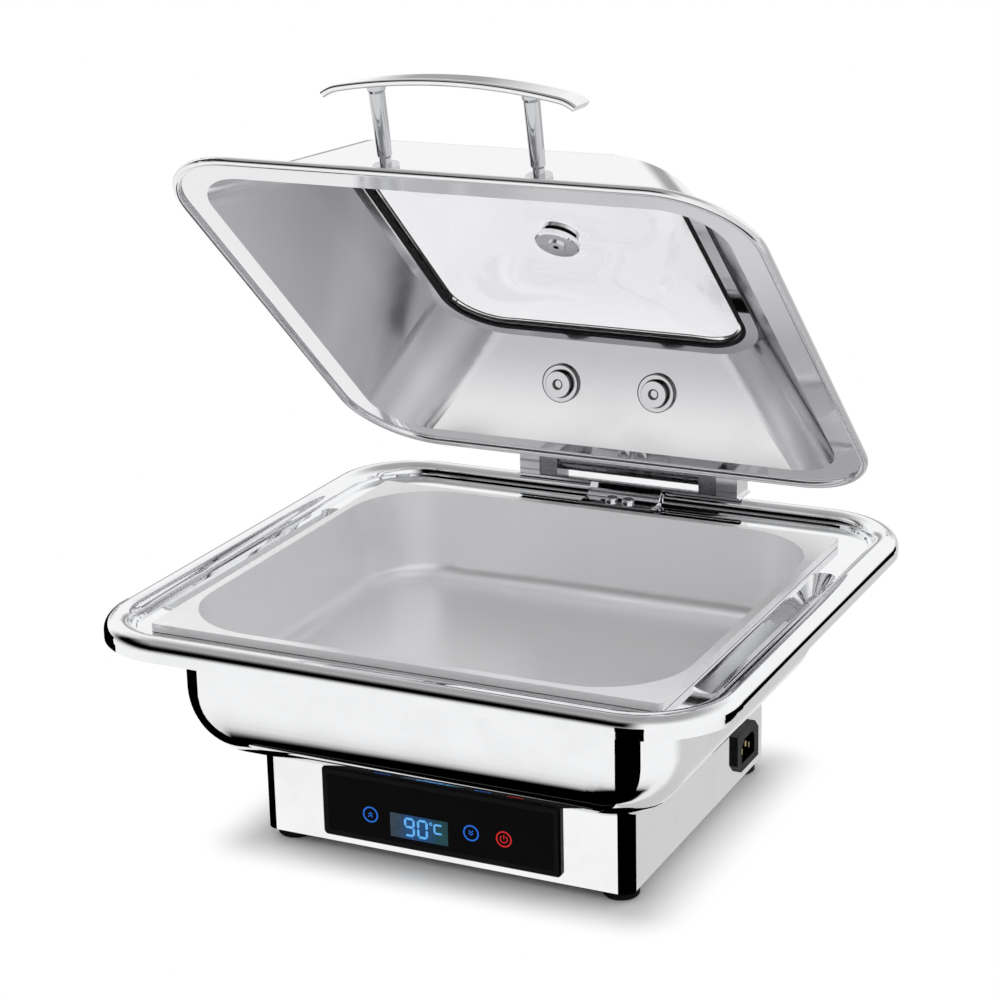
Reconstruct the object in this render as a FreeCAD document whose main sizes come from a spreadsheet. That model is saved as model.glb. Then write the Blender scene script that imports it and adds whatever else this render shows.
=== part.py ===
import FreeCAD, Part
import math
import os
import re
import Sketcher

# Electric chafing dish. A sheet-metal heater base with a touch panel carries a water pan with
# a wide beaded rim. A loose food pan hangs in it, and a lid with a window swings on a damped
# hinge behind the rim.
# Millimetres. X to the right, Y to the back, Z up. The dish stands on Z = 0, and the origin
# lies under the middle of its outline.

V = FreeCAD.Vector

SIZES = [
    # Clearances
    ("fit_gap", 0.3, "between pieces that sit in each other"),
    ("contact_gap", 0.1, "between pieces pressed together"),
    ("running_gap", 0.05, "radial, of the lid's sleeve on its shaft"),
    ("screw_gap", 0.2, "radial, of a screw in its clearance hole"),
    # Heater base
    ("base_width", 266, "heater base, outside"),
    ("base_depth", 245, "heater base, outside"),
    ("base_height", 62, "from its lower edge to the water pan"),
    ("base_centre_y", 1.5, "middle of the heater base"),
    ("base_corner", 9, "radius of its upright corners"),
    ("base_wall", 1, "sheet of the heater base"),
    ("base_flange", 14, "return flange round the open bottom"),
    ("floor_wall", 1.2, "sheet of the bottom cover"),
    ("vent_length", 46, "slot in the bottom cover"),
    ("vent_width", 4, "slot in the bottom cover"),
    ("vent_pitch", 12, "slot to slot"),
    ("vent_row", 40, "from the middle to each row of slots"),
    ("vent_count", 7, "slots in a row"),
    ("cover_screw_length", 5, "cover screw above the cover"),
    ("screw_tail", 1, "screw beyond its nut"),
    # Feet
    ("foot_height", 8, "rubber foot"),
    ("foot_radius", 12, "rubber foot"),
    ("foot_edge", 1.2, "bevel at the floor"),
    ("foot_inset_side", 14, "foot centre from the side of the base"),
    ("foot_inset_end", 17.5, "foot centre from the front and the back of the base"),
    ("foot_recess", 3.5, "depth of the screw's recess"),
    # Screws and nuts
    ("screw_radius", 2, "M4 shank"),
    ("screw_head_radius", 4.5, "M4 pan head"),
    ("screw_head", 2.4, "M4 pan head, height"),
    ("nut_flats", 7, "M4 nut across its flats"),
    ("nut_height", 3.2, "M4 nut"),
    ("small_screw_radius", 1.25, "self-tapping screw"),
    ("small_head_radius", 2.6, "self-tapping screw"),
    ("small_head", 1.8, "self-tapping screw"),
    # Touch panel
    ("panel_width", 172, "touch panel, outside"),
    ("panel_height", 49, "touch panel, outside"),
    ("panel_centre_z", 37.5, "middle of the touch panel"),
    ("panel_corner", 3, "radius of the panel's corners"),
    ("panel_proud", 3.5, "panel in front of the base"),
    ("panel_bevel", 1.3, "bevel round the panel's face"),
    ("panel_border", 4.5, "frame round the glass"),
    ("panel_overlap", 4, "panel over the base's cut-out"),
    ("panel_plug", 5, "frame inside the base"),
    ("panel_wall", 1.5, "moulded walls"),
    ("glass_wall", 1.6, "touch glass"),
    ("display_x", -16.5, "middle of the display"),
    ("display_z", 29.4, "middle of the display"),
    ("display_width", 42, "lit window of the display"),
    ("display_height", 17, "lit window of the display"),
    ("display_depth", 5, "display module"),
    ("key_z", 32.5, "height of the touch keys"),
    ("key_left_x", -52.6, "left touch key"),
    ("key_middle_x", 21.4, "middle touch key"),
    ("key_right_x", 45.2, "right touch key"),
    ("key_radius", 4.5, "hole behind a touch key"),
    ("spring_radius", 3, "touch spring"),
    ("board_width", 150, "control board"),
    ("board_height", 32, "control board"),
    ("board_wall", 1.6, "control board"),
    ("relay_x", 39.5, "relay on the board"),
    ("relay_width", 19, "relay on the board"),
    ("relay_height", 16, "relay on the board"),
    ("transformer_x", -46, "transformer on the board"),
    ("transformer_width", 24, "transformer on the board"),
    ("transformer_height", 20, "transformer on the board"),
    ("capacitor_x", -20, "large capacitor on the board"),
    ("capacitor_radius", 5, "large capacitor on the board"),
    ("small_capacitor_pitch", 14, "small capacitors beside the large one"),
    ("small_capacitor_radius", 4, "small capacitors beside the large one"),
    ("parts_depth", 9, "parts behind the board"),
    ("post_height", 7, "moulded posts behind the panel"),
    ("post_radius", 3.5, "moulded posts behind the panel"),
    ("post_inset", 5, "post centre from the board's edges"),
    ("pilot_floor", 1, "post left below its screw hole"),
    ("pilot_gap", 0.5, "post's hole below the screw's tip"),
    ("spring_wall", 0.8, "touch spring"),
    # Power inlet
    ("inlet_inset", 43, "middle of the inlet from the back of the base"),
    ("inlet_z", 30.7, "middle of the inlet"),
    ("inlet_width", 41, "inlet flange along the base"),
    ("inlet_height", 28.6, "inlet flange"),
    ("inlet_proud", 3.2, "inlet flange"),
    ("inlet_corner", 7, "cut corners of the flange"),
    ("inlet_body_width", 33, "inlet body inside the base"),
    ("inlet_body_height", 23, "inlet body inside the base"),
    ("inlet_depth", 21, "inlet body inside the base"),
    ("socket_width", 25, "opening for the connector"),
    ("socket_height", 17, "opening for the connector"),
    ("socket_corner", 4.5, "cut corners of the opening"),
    ("socket_depth", 16, "opening for the connector"),
    ("pin_pitch", 7, "outer pins from the middle one"),
    ("pin_width", 2, "inlet pin"),
    ("pin_height", 4, "inlet pin"),
    ("pin_lift", 3.5, "middle pin above the outer ones"),
    ("pin_short", 2, "pins behind the inlet's face"),
    ("pin_tail", 8, "tab behind the inlet"),
    # Heater
    ("heater_offset", -9.5, "middle of the heating plate behind the middle of the base"),
    ("plate_inset_side", 33, "heating plate from the sides of the base"),
    ("plate_inset_end", 37.5, "heating plate from the ends of the base"),
    ("plate_corner", 12, "heating plate"),
    ("plate_wall", 6, "heating plate"),
    ("plate_margin", 3, "heating plate to the base's cut-out"),
    ("element_radius", 3.3, "tubular element"),
    ("element_pitch", 40, "run to run"),
    ("element_reach", 84, "ends from the middle"),
    ("element_turn_left", 66, "left turns from the middle"),
    ("element_turn_right", 50, "right turn from the middle"),
    ("insulator_radius", 3.1, "ceramic end of the element"),
    ("insulator_length", 9, "ceramic end of the element"),
    ("terminal_radius", 1.5, "pin of the element"),
    ("terminal_length", 7, "pin beyond its insulator"),
    ("stud_place", 40, "studs from the middle, both ways"),
    ("stud_radius", 2.5, "M5 stud welded under the pan"),
    ("stud_length", 31, "M5 stud"),
    ("stud_nut_flats", 8, "M5 nut across its flats"),
    ("stud_nut", 4, "M5 nut"),
    ("clamp_width", 14, "clamp bar across the element"),
    ("clamp_length", 140, "clamp bar across the element"),
    ("clamp_wall", 2, "clamp bar across the element"),
    ("sensor_radius", 5.7, "temperature sensor"),
    ("sensor_flange", 7.5, "temperature sensor"),
    ("cutout_x", -72, "thermal cut-out"),
    ("cutout_radius", 8, "thermal cut-out"),
    ("cutout_height", 7, "thermal cut-out"),
    ("tab_height", 4, "connector tabs of the cut-out"),
    ("tab_width", 6, "connector tabs of the cut-out"),
    ("tab_wall", 0.8, "connector tabs of the cut-out"),
    ("tab_place", 4.1, "connector tabs from its middle"),
    ("sensor_stem", 3.7, "stem of the temperature sensor"),
    ("sensor_length", 8, "temperature sensor below the plate"),
    ("sensor_flange_wall", 2, "flange of the temperature sensor"),
    ("spacer_wall", 1.5, "spacer tube on the stud"),
    ("shield_reach_side", 6, "heat shield beyond the heating plate"),
    ("shield_reach_end", 3, "heat shield beyond the heating plate"),
    ("shield_rise", 9, "turned-up edge of the heat shield"),
    ("shield_wall", 0.8, "heat shield"),
    ("shield_corner", 8, "heat shield"),
    ("block_width", 30, "terminal block"),
    ("block_depth", 18, "terminal block"),
    ("block_height", 15, "terminal block"),
    ("block_inset_side", 47, "middle of the terminal block from the side of the base"),
    ("block_inset_end", 28, "middle of the terminal block from the back of the base"),
    ("wire_way_radius", 2, "wire ways of the terminal block"),
    ("wire_way_pitch", 9, "wire ways of the terminal block"),
    ("wire_way_height", 4.5, "wire ways of the terminal block"),
    ("block_corner", 2, "upright edges of the terminal block"),
    # Water pan and its rim
    ("pan_width", 351, "water pan, outside"),
    ("pan_depth", 322, "water pan, outside"),
    ("pan_centre_y", -14, "middle of the water pan"),
    ("pan_corner", 50, "upright corners of the water pan"),
    ("pan_round", 47, "round lower edge of the water pan"),
    ("pan_wall", 1, "sheet of the water pan"),
    ("ledge_height", 91.4, "top of the ledge above the pan's bottom"),
    ("rim_width", 436, "rim, outside"),
    ("rim_depth", 418, "rim, outside"),
    ("rim_centre_y", -3, "middle of the rim"),
    ("rim_corner", 62, "corners of the rim"),
    ("bead_radius", 9.2, "half-round bead of the rim"),
    ("bead_sink", 0.4, "middle of the bead below the ledge"),
    ("bead_lip", 5, "upright edge below the bead"),
    ("step_height", 1.6, "step between the bead and the ledge"),
    ("step_width", 2.2, "flat of the step"),
    ("step_slope", 1.2, "slope of the step"),
    ("gutter_inset", 30.6, "middle of a finger recess from the side of the rim"),
    ("gutter_shift", -10, "middle of a finger recess from the middle of the pan"),
    ("gutter_width", 17, "mouth of a finger recess"),
    ("gutter_length", 230, "mouth of a finger recess"),
    ("gutter_depth", 9.5, "finger recess in the ledge"),
    ("gutter_slope_side", 5, "how far its long sides slope in"),
    ("gutter_slope_end", 20, "how far its ends slope in"),
    ("gutter_sheet", 1.6, "wall of a finger recess, measured level"),
    ("skirt_top", 3.5, "skirt's upper edge below the middle of the bead"),
    ("skirt_height", 17.5, "skirt"),
    ("skirt_wall", 1.2, "skirt"),
    ("skirt_foot", 1, "skirt's lower edge from the pan"),
    # Food pan
    ("tray_width", 354, "flange of the food pan"),
    ("tray_depth", 325, "flange of the food pan"),
    ("tray_corner", 3, "corners of the flange"),
    ("tray_lip", 5.5, "turned-down edge of the flange"),
    ("tray_wall", 0.8, "sheet of the food pan"),
    ("tray_mouth_width", 343, "mouth of the food pan"),
    ("tray_mouth_depth", 314, "mouth of the food pan"),
    ("tray_mouth_corner", 60, "mouth of the food pan"),
    ("tray_floor_width", 327, "bottom of the food pan"),
    ("tray_floor_depth", 299, "bottom of the food pan"),
    ("tray_floor_corner", 54, "bottom of the food pan"),
    ("tray_drop", 65, "depth of the food pan"),
    ("tray_round", 14, "round lower edge of the food pan"),
    # Lid
    ("lid_width", 404, "lid, outside"),
    ("lid_depth", 390, "lid, outside"),
    ("lid_corner", 62, "corners of the lid"),
    ("lid_roll", 3, "rolled edge of the lid"),
    ("lid_wall", 1, "sheet of the lid"),
    ("lid_flange", 22, "flat band round the lid"),
    ("lid_height", 64.5, "dome of the lid"),
    ("lid_top_width", 245, "top of the dome"),
    ("lid_top_depth", 250, "top of the dome"),
    ("lid_top_corner", 45, "top of the dome"),
    ("lid_edge", 4, "rounded upper edge of the dome"),
    ("lid_gap", 0.8, "closed lid above the bead"),
    ("lid_back_inset", 20, "lid's back edge in front of the rim's"),
    ("rest_angle", 42.7, "how far the lid stands open"),
    # Window
    ("window_inset_side", 7.5, "opening in the bright ring from the side of the dome's top"),
    ("window_inset_end", 10, "opening in the bright ring from the end of the dome's top"),
    ("window_corner", 39, "opening in the bright ring"),
    ("ring_width", 8.5, "bright ring"),
    ("ring_wall", 1.2, "bright ring"),
    ("ring_drop", 4.2, "face of the ring below the lid's inner top"),
    ("ring_collar", 2, "collar of the bright ring"),
    ("gasket_wall", 1.3, "upright wall of the gasket"),
    ("gasket_lip", 2.2, "lip of the gasket"),
    ("gasket_flange", 5, "gasket over the lid's top"),
    ("gasket_cover", 1.6, "gasket over the lid's top, thickness"),
    ("pane_wall", 4, "window glass"),
    ("pane_rise", 9.6, "how far the window glass bulges"),
    # Steam vent
    ("vent_cap_radius", 15.5, "inner disc of the steam vent"),
    ("vent_cap_height", 4, "inner disc of the steam vent"),
    ("vent_stem_radius", 6, "stem of the steam vent"),
    ("vent_head_radius", 13, "outer head of the steam vent"),
    ("vent_head_height", 5, "outer head of the steam vent"),
    ("vent_hole_radius", 2, "steam hole"),
    ("vent_tail", 1.5, "stem beyond the inner disc"),
    ("vent_bevel", 1, "edge of the inner disc"),
    ("vent_slope", 3, "sloping edge of the outer head, across"),
    ("vent_slope_height", 2, "sloping edge of the outer head"),
    ("seal_inset", 2, "washers within the outer head"),
    ("vent_seal_wall", 1.2, "rubber washers of the steam vent"),
    # Handle
    ("handle_width", 22, "grip, across"),
    ("handle_half", 84, "grip, half its length"),
    ("handle_wall", 4.4, "grip"),
    ("handle_arc", 420, "radius of the grip's underside"),
    ("handle_end", 10, "turned-down ends of the grip"),
    ("handle_end_arc", 24, "radius of the underside of the turned-down ends"),
    ("handle_round", 1.8, "rounded edges of the grip"),
    ("handle_tilt", 10.6, "grip turned towards the top of the lid"),
    ("handle_rise", 27, "feet of the posts above the lid's edge"),
    ("handle_post_x", 52.6, "posts from the middle"),
    ("handle_post_radius", 5.2, "post below its head"),
    ("handle_foot_radius", 4.8, "post above its neck"),
    ("handle_head_radius", 6, "flared head of the post"),
    ("handle_head", 4, "flared head of the post"),
    ("handle_post_length", 53.7, "post"),
    ("handle_neck_radius", 3.8, "narrow foot of the post"),
    ("handle_neck", 7, "narrow foot of the post"),
    ("handle_collar_radius", 8.5, "collar under the post"),
    ("handle_collar", 2, "collar under the post"),
    ("neck_slope", 1.5, "slope between the neck and the post"),
    ("handle_screw_length", 12, "screw above the lid's wall"),
    ("handle_thread", 14, "end of the post's threaded hole"),
    # Hinge
    ("axis_behind", 18.8, "hinge axis behind the lid's edge"),
    ("axis_above", 29, "hinge axis above the lid's edge"),
    ("shaft_radius", 4, "hinge shaft"),
    ("shaft_half", 84, "hinge shaft, half its length"),
    ("sleeve_radius", 7, "lid's sleeve"),
    ("sleeve_half", 55.5, "lid's sleeve, half its length"),
    ("bracket_half", 52, "lid's bracket, half its width"),
    ("bracket_wall", 3, "lid's bracket"),
    ("bracket_low", 22, "lower edge of the bracket on the lid"),
    ("bracket_high", 50, "upper edge of the bracket on the lid"),
    ("bracket_bolt_x", 37, "bolts from the middle"),
    ("bracket_bolt_rise", 36, "bolts above the lid's edge"),
    ("bracket_bolt_radius", 3, "M6 bolt"),
    ("bracket_head_radius", 6, "M6 bolt"),
    ("bracket_head", 3.6, "M6 bolt"),
    ("bracket_tail", 1.5, "bolt's end inside its nut"),
    ("bracket_root", 0.5, "strip sunk into the wall plate"),
    ("round_nut_radius", 14, "round nut inside the lid"),
    ("round_nut", 7, "round nut inside the lid"),
    ("round_nut_flange", 2.4, "flange of the round nut"),
    ("round_nut_hub", 9.5, "hub of the round nut"),
    ("knuckle_inner", 56, "inner block from the middle"),
    ("knuckle_joint", 70, "between the inner and the outer block"),
    ("knuckle_outer", 86, "outer block from the middle"),
    ("knuckle_back", 7.2, "blocks behind the hinge axis"),
    ("knuckle_depth", 22, "blocks, front to back"),
    ("knuckle_top", 9, "blocks above the hinge axis"),
    ("knuckle_round", 5, "rounded upper edges of the blocks"),
    ("damper_radius", 9, "damper cylinder"),
    ("damper_drop", 19.3, "damper below the hinge axis"),
    ("damper_inset", 1.9, "damper in front of the hinge axis"),
    ("damper_joint", 45, "joint line of the damper from the middle"),
    ("hinge_strip_wall", 1.5, "strip over the bead"),
    ("hinge_strip_half", 88, "strip over the bead, half its width"),
    ("hinge_strip_depth", 22.5, "strip over the bead, front to back"),
    ("hinge_foot_wall", 2, "foot of the hinge plate on the ledge"),
    ("hinge_foot_half", 28, "foot of the hinge plate, half its width"),
    ("hinge_foot_depth", 16, "foot of the hinge plate, front to back"),
    ("hinge_bolt_x", 6.5, "bolts of the hinge plate from the middle"),
    ("hinge_bolt_inset", 6.5, "bolts from the back of the foot"),
    ("hinge_bolt_head", 4.8, "radius of the domed head"),
    ("hinge_bolt_dome", 3, "domed head"),
    ("hinge_bolt_round", 2, "rounded edge of the domed head"),
    ("hinge_bolt_tail", 2, "bolt beyond its nut"),
    ("arm_place", 6.3, "foot of the plate's arm on the bead, from the bead's middle"),
    ("arm_width", 4, "flat of the arm on the bead"),
    ("arm_wall_top", 0.8, "arm thicker at its top"),
    ("arm_wall_foot", 1.4, "arm thicker at its foot"),
]

doc = FreeCAD.newDocument("ChafingDish")
sheet = doc.addObject("Spreadsheet::Sheet", "Sizes")
for row, (alias, size, words) in enumerate(SIZES, start=1):
    sheet.set("A%d" % row, words)
    sheet.set("B%d" % row, str(size))
    sheet.setAlias("B%d" % row, alias)
doc.recompute()
ALIASES = {alias for alias, size, words in SIZES}
pieces = []

# Places that follow from the sizes
BASE_TOP = "(foot_height + base_height)"
BASE_FRONT = "(base_centre_y - base_depth / 2)"
BASE_BACK = "(base_centre_y + base_depth / 2)"
BASE_FLOOR = "(foot_height + floor_wall)"
INLET_Y = f"({BASE_BACK} - inlet_inset)"
HEATER_Y = "(base_centre_y + heater_offset)"
PLATE_WIDTH = "(base_width - 2 * plate_inset_side)"
PLATE_DEPTH = "(base_depth - 2 * plate_inset_end)"
GLASS_BACK = f"({BASE_FRONT} - panel_proud + glass_wall + contact_gap)"
WEB_BACK = f"({GLASS_BACK} + panel_wall)"
BOARD_FRONT = f"({WEB_BACK} + post_height)"
PLATE_TOP = f"({BASE_TOP} - contact_gap)"
PLATE_LOW = f"({PLATE_TOP} - plate_wall)"
ELEMENT_Z = f"({PLATE_LOW} - contact_gap - element_radius)"
CLAMP_LOW = f"({ELEMENT_Z} - element_radius - contact_gap - clamp_wall)"
STUD_LOW = f"({BASE_TOP} - stud_length)"
SHIELD_LOW = f"({STUD_LOW} + stud_nut + 1)"
LEDGE = f"({BASE_TOP} + ledge_height)"
BEAD_Z = f"({LEDGE} - bead_sink)"
BEAD_X = "(rim_width / 2 - bead_radius)"
BEAD_TOP = f"({BEAD_Z} + bead_radius)"
RIM_BACK = "(rim_centre_y + rim_depth / 2)"
BEAD_BACK = f"({RIM_BACK} - bead_radius)"
SKIRT_TOP = f"({BEAD_Z} - skirt_top)"
TRAY_TOP = f"({LEDGE} + fit_gap + tray_lip)"
LID_Y = f"({RIM_BACK} - lid_back_inset - lid_depth / 2)"
LID_Z = f"({BEAD_TOP} + lid_gap + lid_roll)"
AXIS_Y = f"({RIM_BACK} - lid_back_inset + axis_behind)"
AXIS_Z = f"({LID_Z} + axis_above)"
STRIP_LOW = f"({BEAD_TOP} + fit_gap)"
STRIP_TOP = f"({STRIP_LOW} + hinge_strip_wall)"
FOOT_BACK = f"({BEAD_BACK} - bead_radius - step_width - step_slope - 2 * fit_gap)"

# The lid's own frame lies in the middle of its edge plane, with Z through its window
AXIS_V = "(lid_depth / 2 + axis_behind)"
DOME_WIDTH = "(lid_width - 2 * lid_flange)"
DOME_DEPTH = "(lid_depth - 2 * lid_flange)"
DOME_RUN = f"(({DOME_DEPTH} - lid_top_depth) / 2)"
WALL_ANGLE = f"atan(lid_height / {DOME_RUN})"
LID_TOP_INSIDE = "(lid_height - lid_wall)"
RING_FACE = f"({LID_TOP_INSIDE} - ring_drop)"
WINDOW_WIDTH = "(lid_top_width - 2 * window_inset_side)"
WINDOW_DEPTH = "(lid_top_depth - 2 * window_inset_end)"
GASKET_CORNER = "(window_corner - contact_gap)"
PANE_LOW = f"({RING_FACE} + fit_gap + gasket_lip + contact_gap)"
PANE_TOP = f"({PANE_LOW} + pane_wall)"
PANE_INSET = "(gasket_wall + 2 * contact_gap)"
PANE_WIDTH = f"({WINDOW_WIDTH} - 2 * {PANE_INSET})"
PANE_DEPTH = f"({WINDOW_DEPTH} - 2 * {PANE_INSET})"
PANE_CORNER = f"({GASKET_CORNER} - gasket_wall - contact_gap)"


def bound(expression):
    """Points each size in an expression at its cell."""
    def cell(match):
        return "Sizes." + match[0] if match[0] in ALIASES else match[0]
    return re.sub(r"[a-z_]+", cell, expression)


def number(expression):
    """The value of an expression now."""
    value = sheet.evalExpression(bound(expression))
    return float(getattr(value, "Value", value))


def new_body(label, keep=True):
    """An empty body, kept as a piece of the dish unless it is only a tool."""
    body = doc.addObject("PartDesign::Body", label)
    body.AllowCompound = True
    if keep:
        pieces.append(body)
    return body


def frame_at(x="0", y="0", z="0", tilt="0"):
    """Expression for a frame moved, and tilted about its own X axis."""
    return f"placement(vector({x}; {y}; {z}); rotation(vector(1; 0; 0); {tilt}))"


def place(piece, *frames):
    """Puts a piece at the product of the frames."""
    piece.setExpression("Placement", bound(" * ".join(frames)))


OPENED = (f"placement(vector(0; 0; 0); rotation(vector(-1; 0; 0); rest_angle); "
          f"vector(0; {AXIS_Y}; {AXIS_Z}))")
LID = OPENED + " * " + frame_at("0", LID_Y, LID_Z)


def wall_frame(side, rise):
    """A frame on the outside of the lid's front (-1) or back (1) wall, Z outwards."""
    away = f"({side}) * ({DOME_DEPTH} / 2 - ({rise}) * {DOME_RUN} / lid_height)"
    return frame_at("0", away, rise, f"-({side}) * {WALL_ANGLE}")


# Sketches

def sketch_on(body, name, plane="XY", level="0"):
    """A sketch on one of the body's planes, moved to a level along its axis."""
    sketch = body.newObject("Sketcher::SketchObject", name)
    role = plane + "_Plane"
    origin = [feature for feature in body.Origin.OriginFeatures if feature.Role == role][0]
    sketch.AttachmentSupport = [(origin, "")]
    sketch.MapMode = "FlatFace"
    away = f"-({level})" if plane == "XZ" else level
    sketch.setExpression("AttachmentOffset.Base.z", bound(away))
    return sketch


def measure(sketch, kind, expression, *where):
    """A dimension bound to an expression."""
    value = number(expression)
    index = sketch.addConstraint(Sketcher.Constraint(kind, *where, value))
    sketch.renameConstraint(index, "size_%d" % index)
    sketch.setExpression("Constraints.size_%d" % index, bound(expression))


def locate(sketch, geometry, end, x, y):
    """Fixes a point of a sketch from the sketch's origin."""
    if x == "0":
        sketch.addConstraint(Sketcher.Constraint("PointOnObject", geometry, end, -2))
    else:
        measure(sketch, "DistanceX", x, -1, 1, geometry, end)
    if y == "0":
        sketch.addConstraint(Sketcher.Constraint("PointOnObject", geometry, end, -1))
    else:
        measure(sketch, "DistanceY", y, -1, 1, geometry, end)


def trace(points, closed=True):
    """A run of lines and arcs. A point (x, y, radius, turn) is reached along an arc, which
    turns left where turn is 1 and right where it is -1."""
    def draw(sketch):
        spots = [V(number(p[0]), number(p[1]), 0) for p in points]
        parts = []
        last = len(points) if closed else len(points) - 1
        for index in range(last):
            target = points[(index + 1) % len(points)]
            start, stop = spots[index], spots[(index + 1) % len(points)]
            if len(target) == 2:
                geometry = sketch.addGeometry(Part.LineSegment(start, stop), False)
                parts.append((geometry, 1, 2))
                continue
            radius, turn = number(target[2]), target[3]
            chord = stop - start
            left = V(-chord.y, chord.x, 0).normalize() * turn
            reach = math.sqrt(max(radius ** 2 - (chord.Length / 2) ** 2, 0))
            centre = (start + stop) * 0.5 + left * reach
            first, final = (start, stop) if turn == 1 else (stop, start)
            angles = [math.atan2(p.y - centre.y, p.x - centre.x) for p in (first, final)]
            circle = Part.Circle(centre, V(0, 0, 1), radius)
            geometry = sketch.addGeometry(Part.ArcOfCircle(circle, *angles), False)
            parts.append((geometry, 1, 2) if turn == 1 else (geometry, 2, 1))
            measure(sketch, "Radius", target[2], geometry)
        for index in range(len(parts) if closed else len(parts) - 1):
            here, following = parts[index], parts[(index + 1) % len(parts)]
            sketch.addConstraint(Sketcher.Constraint(
                "Coincident", here[0], here[2], following[0], following[1]))
        for part, point in zip(parts, points):
            locate(sketch, part[0], part[1], point[0], point[1])
        if not closed:
            locate(sketch, parts[-1][0], parts[-1][2], points[-1][0], points[-1][1])
    return draw


def box(left, right, low, high):
    """A rectangle between two levels each way."""
    return trace([(left, low), (right, low), (right, high), (left, high)])


def hexagon(flats, x="0", y="0"):
    """A regular hexagon, given across its flats."""
    reach = f"({flats}) / sqrt(3)"
    return trace([(f"{x} + {reach} * cos({60 * corner + 30})",
                   f"{y} + {reach} * sin({60 * corner + 30})") for corner in range(6)])


def disc(radius, x="0", y="0"):
    """A circle."""
    def draw(sketch):
        circle = Part.Circle(V(number(x), number(y), 0), V(0, 0, 1), number(radius))
        geometry = sketch.addGeometry(circle, False)
        measure(sketch, "Radius", radius, geometry)
        locate(sketch, geometry, 3, x, y)
    return draw


def rounded(width, height, radius, x="0", y="0"):
    """A rectangle with round corners about its middle."""
    def draw(sketch):
        right, top = number(f"{x} + ({width}) / 2"), number(f"{y} + ({height}) / 2")
        left, low = number(f"{x} - ({width}) / 2"), number(f"{y} - ({height}) / 2")
        size = number(radius)
        corners = [(right, low, -1, 1), (right, top, -1, -1), (left, top, 1, -1), (left, low, 1, 1)]
        lines, arcs = [], []
        for index, (cx, cy, inx, iny) in enumerate(corners):
            before = corners[index - 1]
            along_x = index % 2 == 0
            if along_x:
                start, stop = V(before[0] - inx * size, cy, 0), V(cx + inx * size, cy, 0)
            else:
                start, stop = V(cx, before[1] - iny * size, 0), V(cx, cy + iny * size, 0)
            lines.append(sketch.addGeometry(Part.LineSegment(start, stop), False))
            circle = Part.Circle(V(cx + inx * size, cy + iny * size, 0), V(0, 0, 1), size)
            turn = math.radians(90 * index - 90)
            arc = Part.ArcOfCircle(circle, turn, turn + math.pi / 2)
            arcs.append(sketch.addGeometry(arc, False))
        for index in range(4):
            follow = lines[(index + 1) % 4]
            direction = "Horizontal" if index % 2 == 0 else "Vertical"
            sketch.addConstraint(Sketcher.Constraint("Tangent", lines[index], 2, arcs[index], 1))
            sketch.addConstraint(Sketcher.Constraint("Tangent", arcs[index], 2, follow, 1))
            sketch.addConstraint(Sketcher.Constraint(direction, lines[index]))
        for arc in arcs[1:]:
            sketch.addConstraint(Sketcher.Constraint("Equal", arcs[0], arc))
        measure(sketch, "Radius", radius, arcs[0])
        measure(sketch, "DistanceY", f"{y} - ({height}) / 2", -1, 1, lines[0], 1)
        measure(sketch, "DistanceX", f"{x} + ({width}) / 2", -1, 1, lines[1], 1)
        measure(sketch, "DistanceY", f"{y} + ({height}) / 2", -1, 1, lines[2], 1)
        measure(sketch, "DistanceX", f"{x} - ({width}) / 2", -1, 1, lines[3], 1)
    return draw


def slot(length, width, x="0", y="0"):
    """A slot with round ends, along Y."""
    def draw(sketch):
        radius = number(width) / 2
        half = number(f"(({length}) - ({width})) / 2")
        cx, cy = number(x), number(y)
        ends = [(cy + half, 0, math.pi), (cy - half, math.pi, 2 * math.pi)]
        arcs = []
        for middle, start, stop in ends:
            circle = Part.Circle(V(cx, middle, 0), V(0, 0, 1), radius)
            arcs.append(sketch.addGeometry(Part.ArcOfCircle(circle, start, stop), False))
        left = sketch.addGeometry(
            Part.LineSegment(V(cx - radius, cy + half, 0), V(cx - radius, cy - half, 0)), False)
        right = sketch.addGeometry(
            Part.LineSegment(V(cx + radius, cy - half, 0), V(cx + radius, cy + half, 0)), False)
        for one, end, other, start in ((arcs[0], 2, left, 1), (left, 2, arcs[1], 1),
                                       (arcs[1], 2, right, 1), (right, 2, arcs[0], 1)):
            sketch.addConstraint(Sketcher.Constraint("Tangent", one, end, other, start))
        sketch.addConstraint(Sketcher.Constraint("Equal", arcs[0], arcs[1]))
        measure(sketch, "Radius", f"({width}) / 2", arcs[0])
        locate(sketch, arcs[0], 3, x, f"{y} + (({length}) - ({width})) / 2")
        locate(sketch, arcs[1], 3, x, f"{y} - (({length}) - ({width})) / 2")
    return draw


# Features

def add(body, name, plane, start, stop, *shapes):
    """Adds the shapes as a solid from start to stop along the plane's axis."""
    sketch = sketch_on(body, name + "_sketch", plane, stop if plane == "XZ" else start)
    for draw in shapes:
        draw(sketch)
    pad = body.newObject("PartDesign::Pad", name)
    pad.Profile = sketch
    pad.setExpression("Length", bound(f"({stop}) - ({start})"))
    return pad


def cut(body, name, plane, start, stop, *shapes):
    """Cuts the shapes away from start to stop along the plane's axis."""
    sketch = sketch_on(body, name + "_sketch", plane, start if plane == "XZ" else stop)
    for draw in shapes:
        draw(sketch)
    return pocket(body, name, sketch, f"({stop}) - ({start})")


def cut_wall(body, name, side, rise, depth, *shapes):
    """Cuts the shapes square through the lid's front (-1) or back (1) wall."""
    sketch = sketch_on(body, name + "_sketch")
    sketch.setExpression("AttachmentOffset.Base.z", None)
    sketch.setExpression("AttachmentOffset", bound(wall_frame(side, rise)))
    for draw in shapes:
        draw(sketch)
    return pocket(body, name, sketch, depth)


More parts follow.
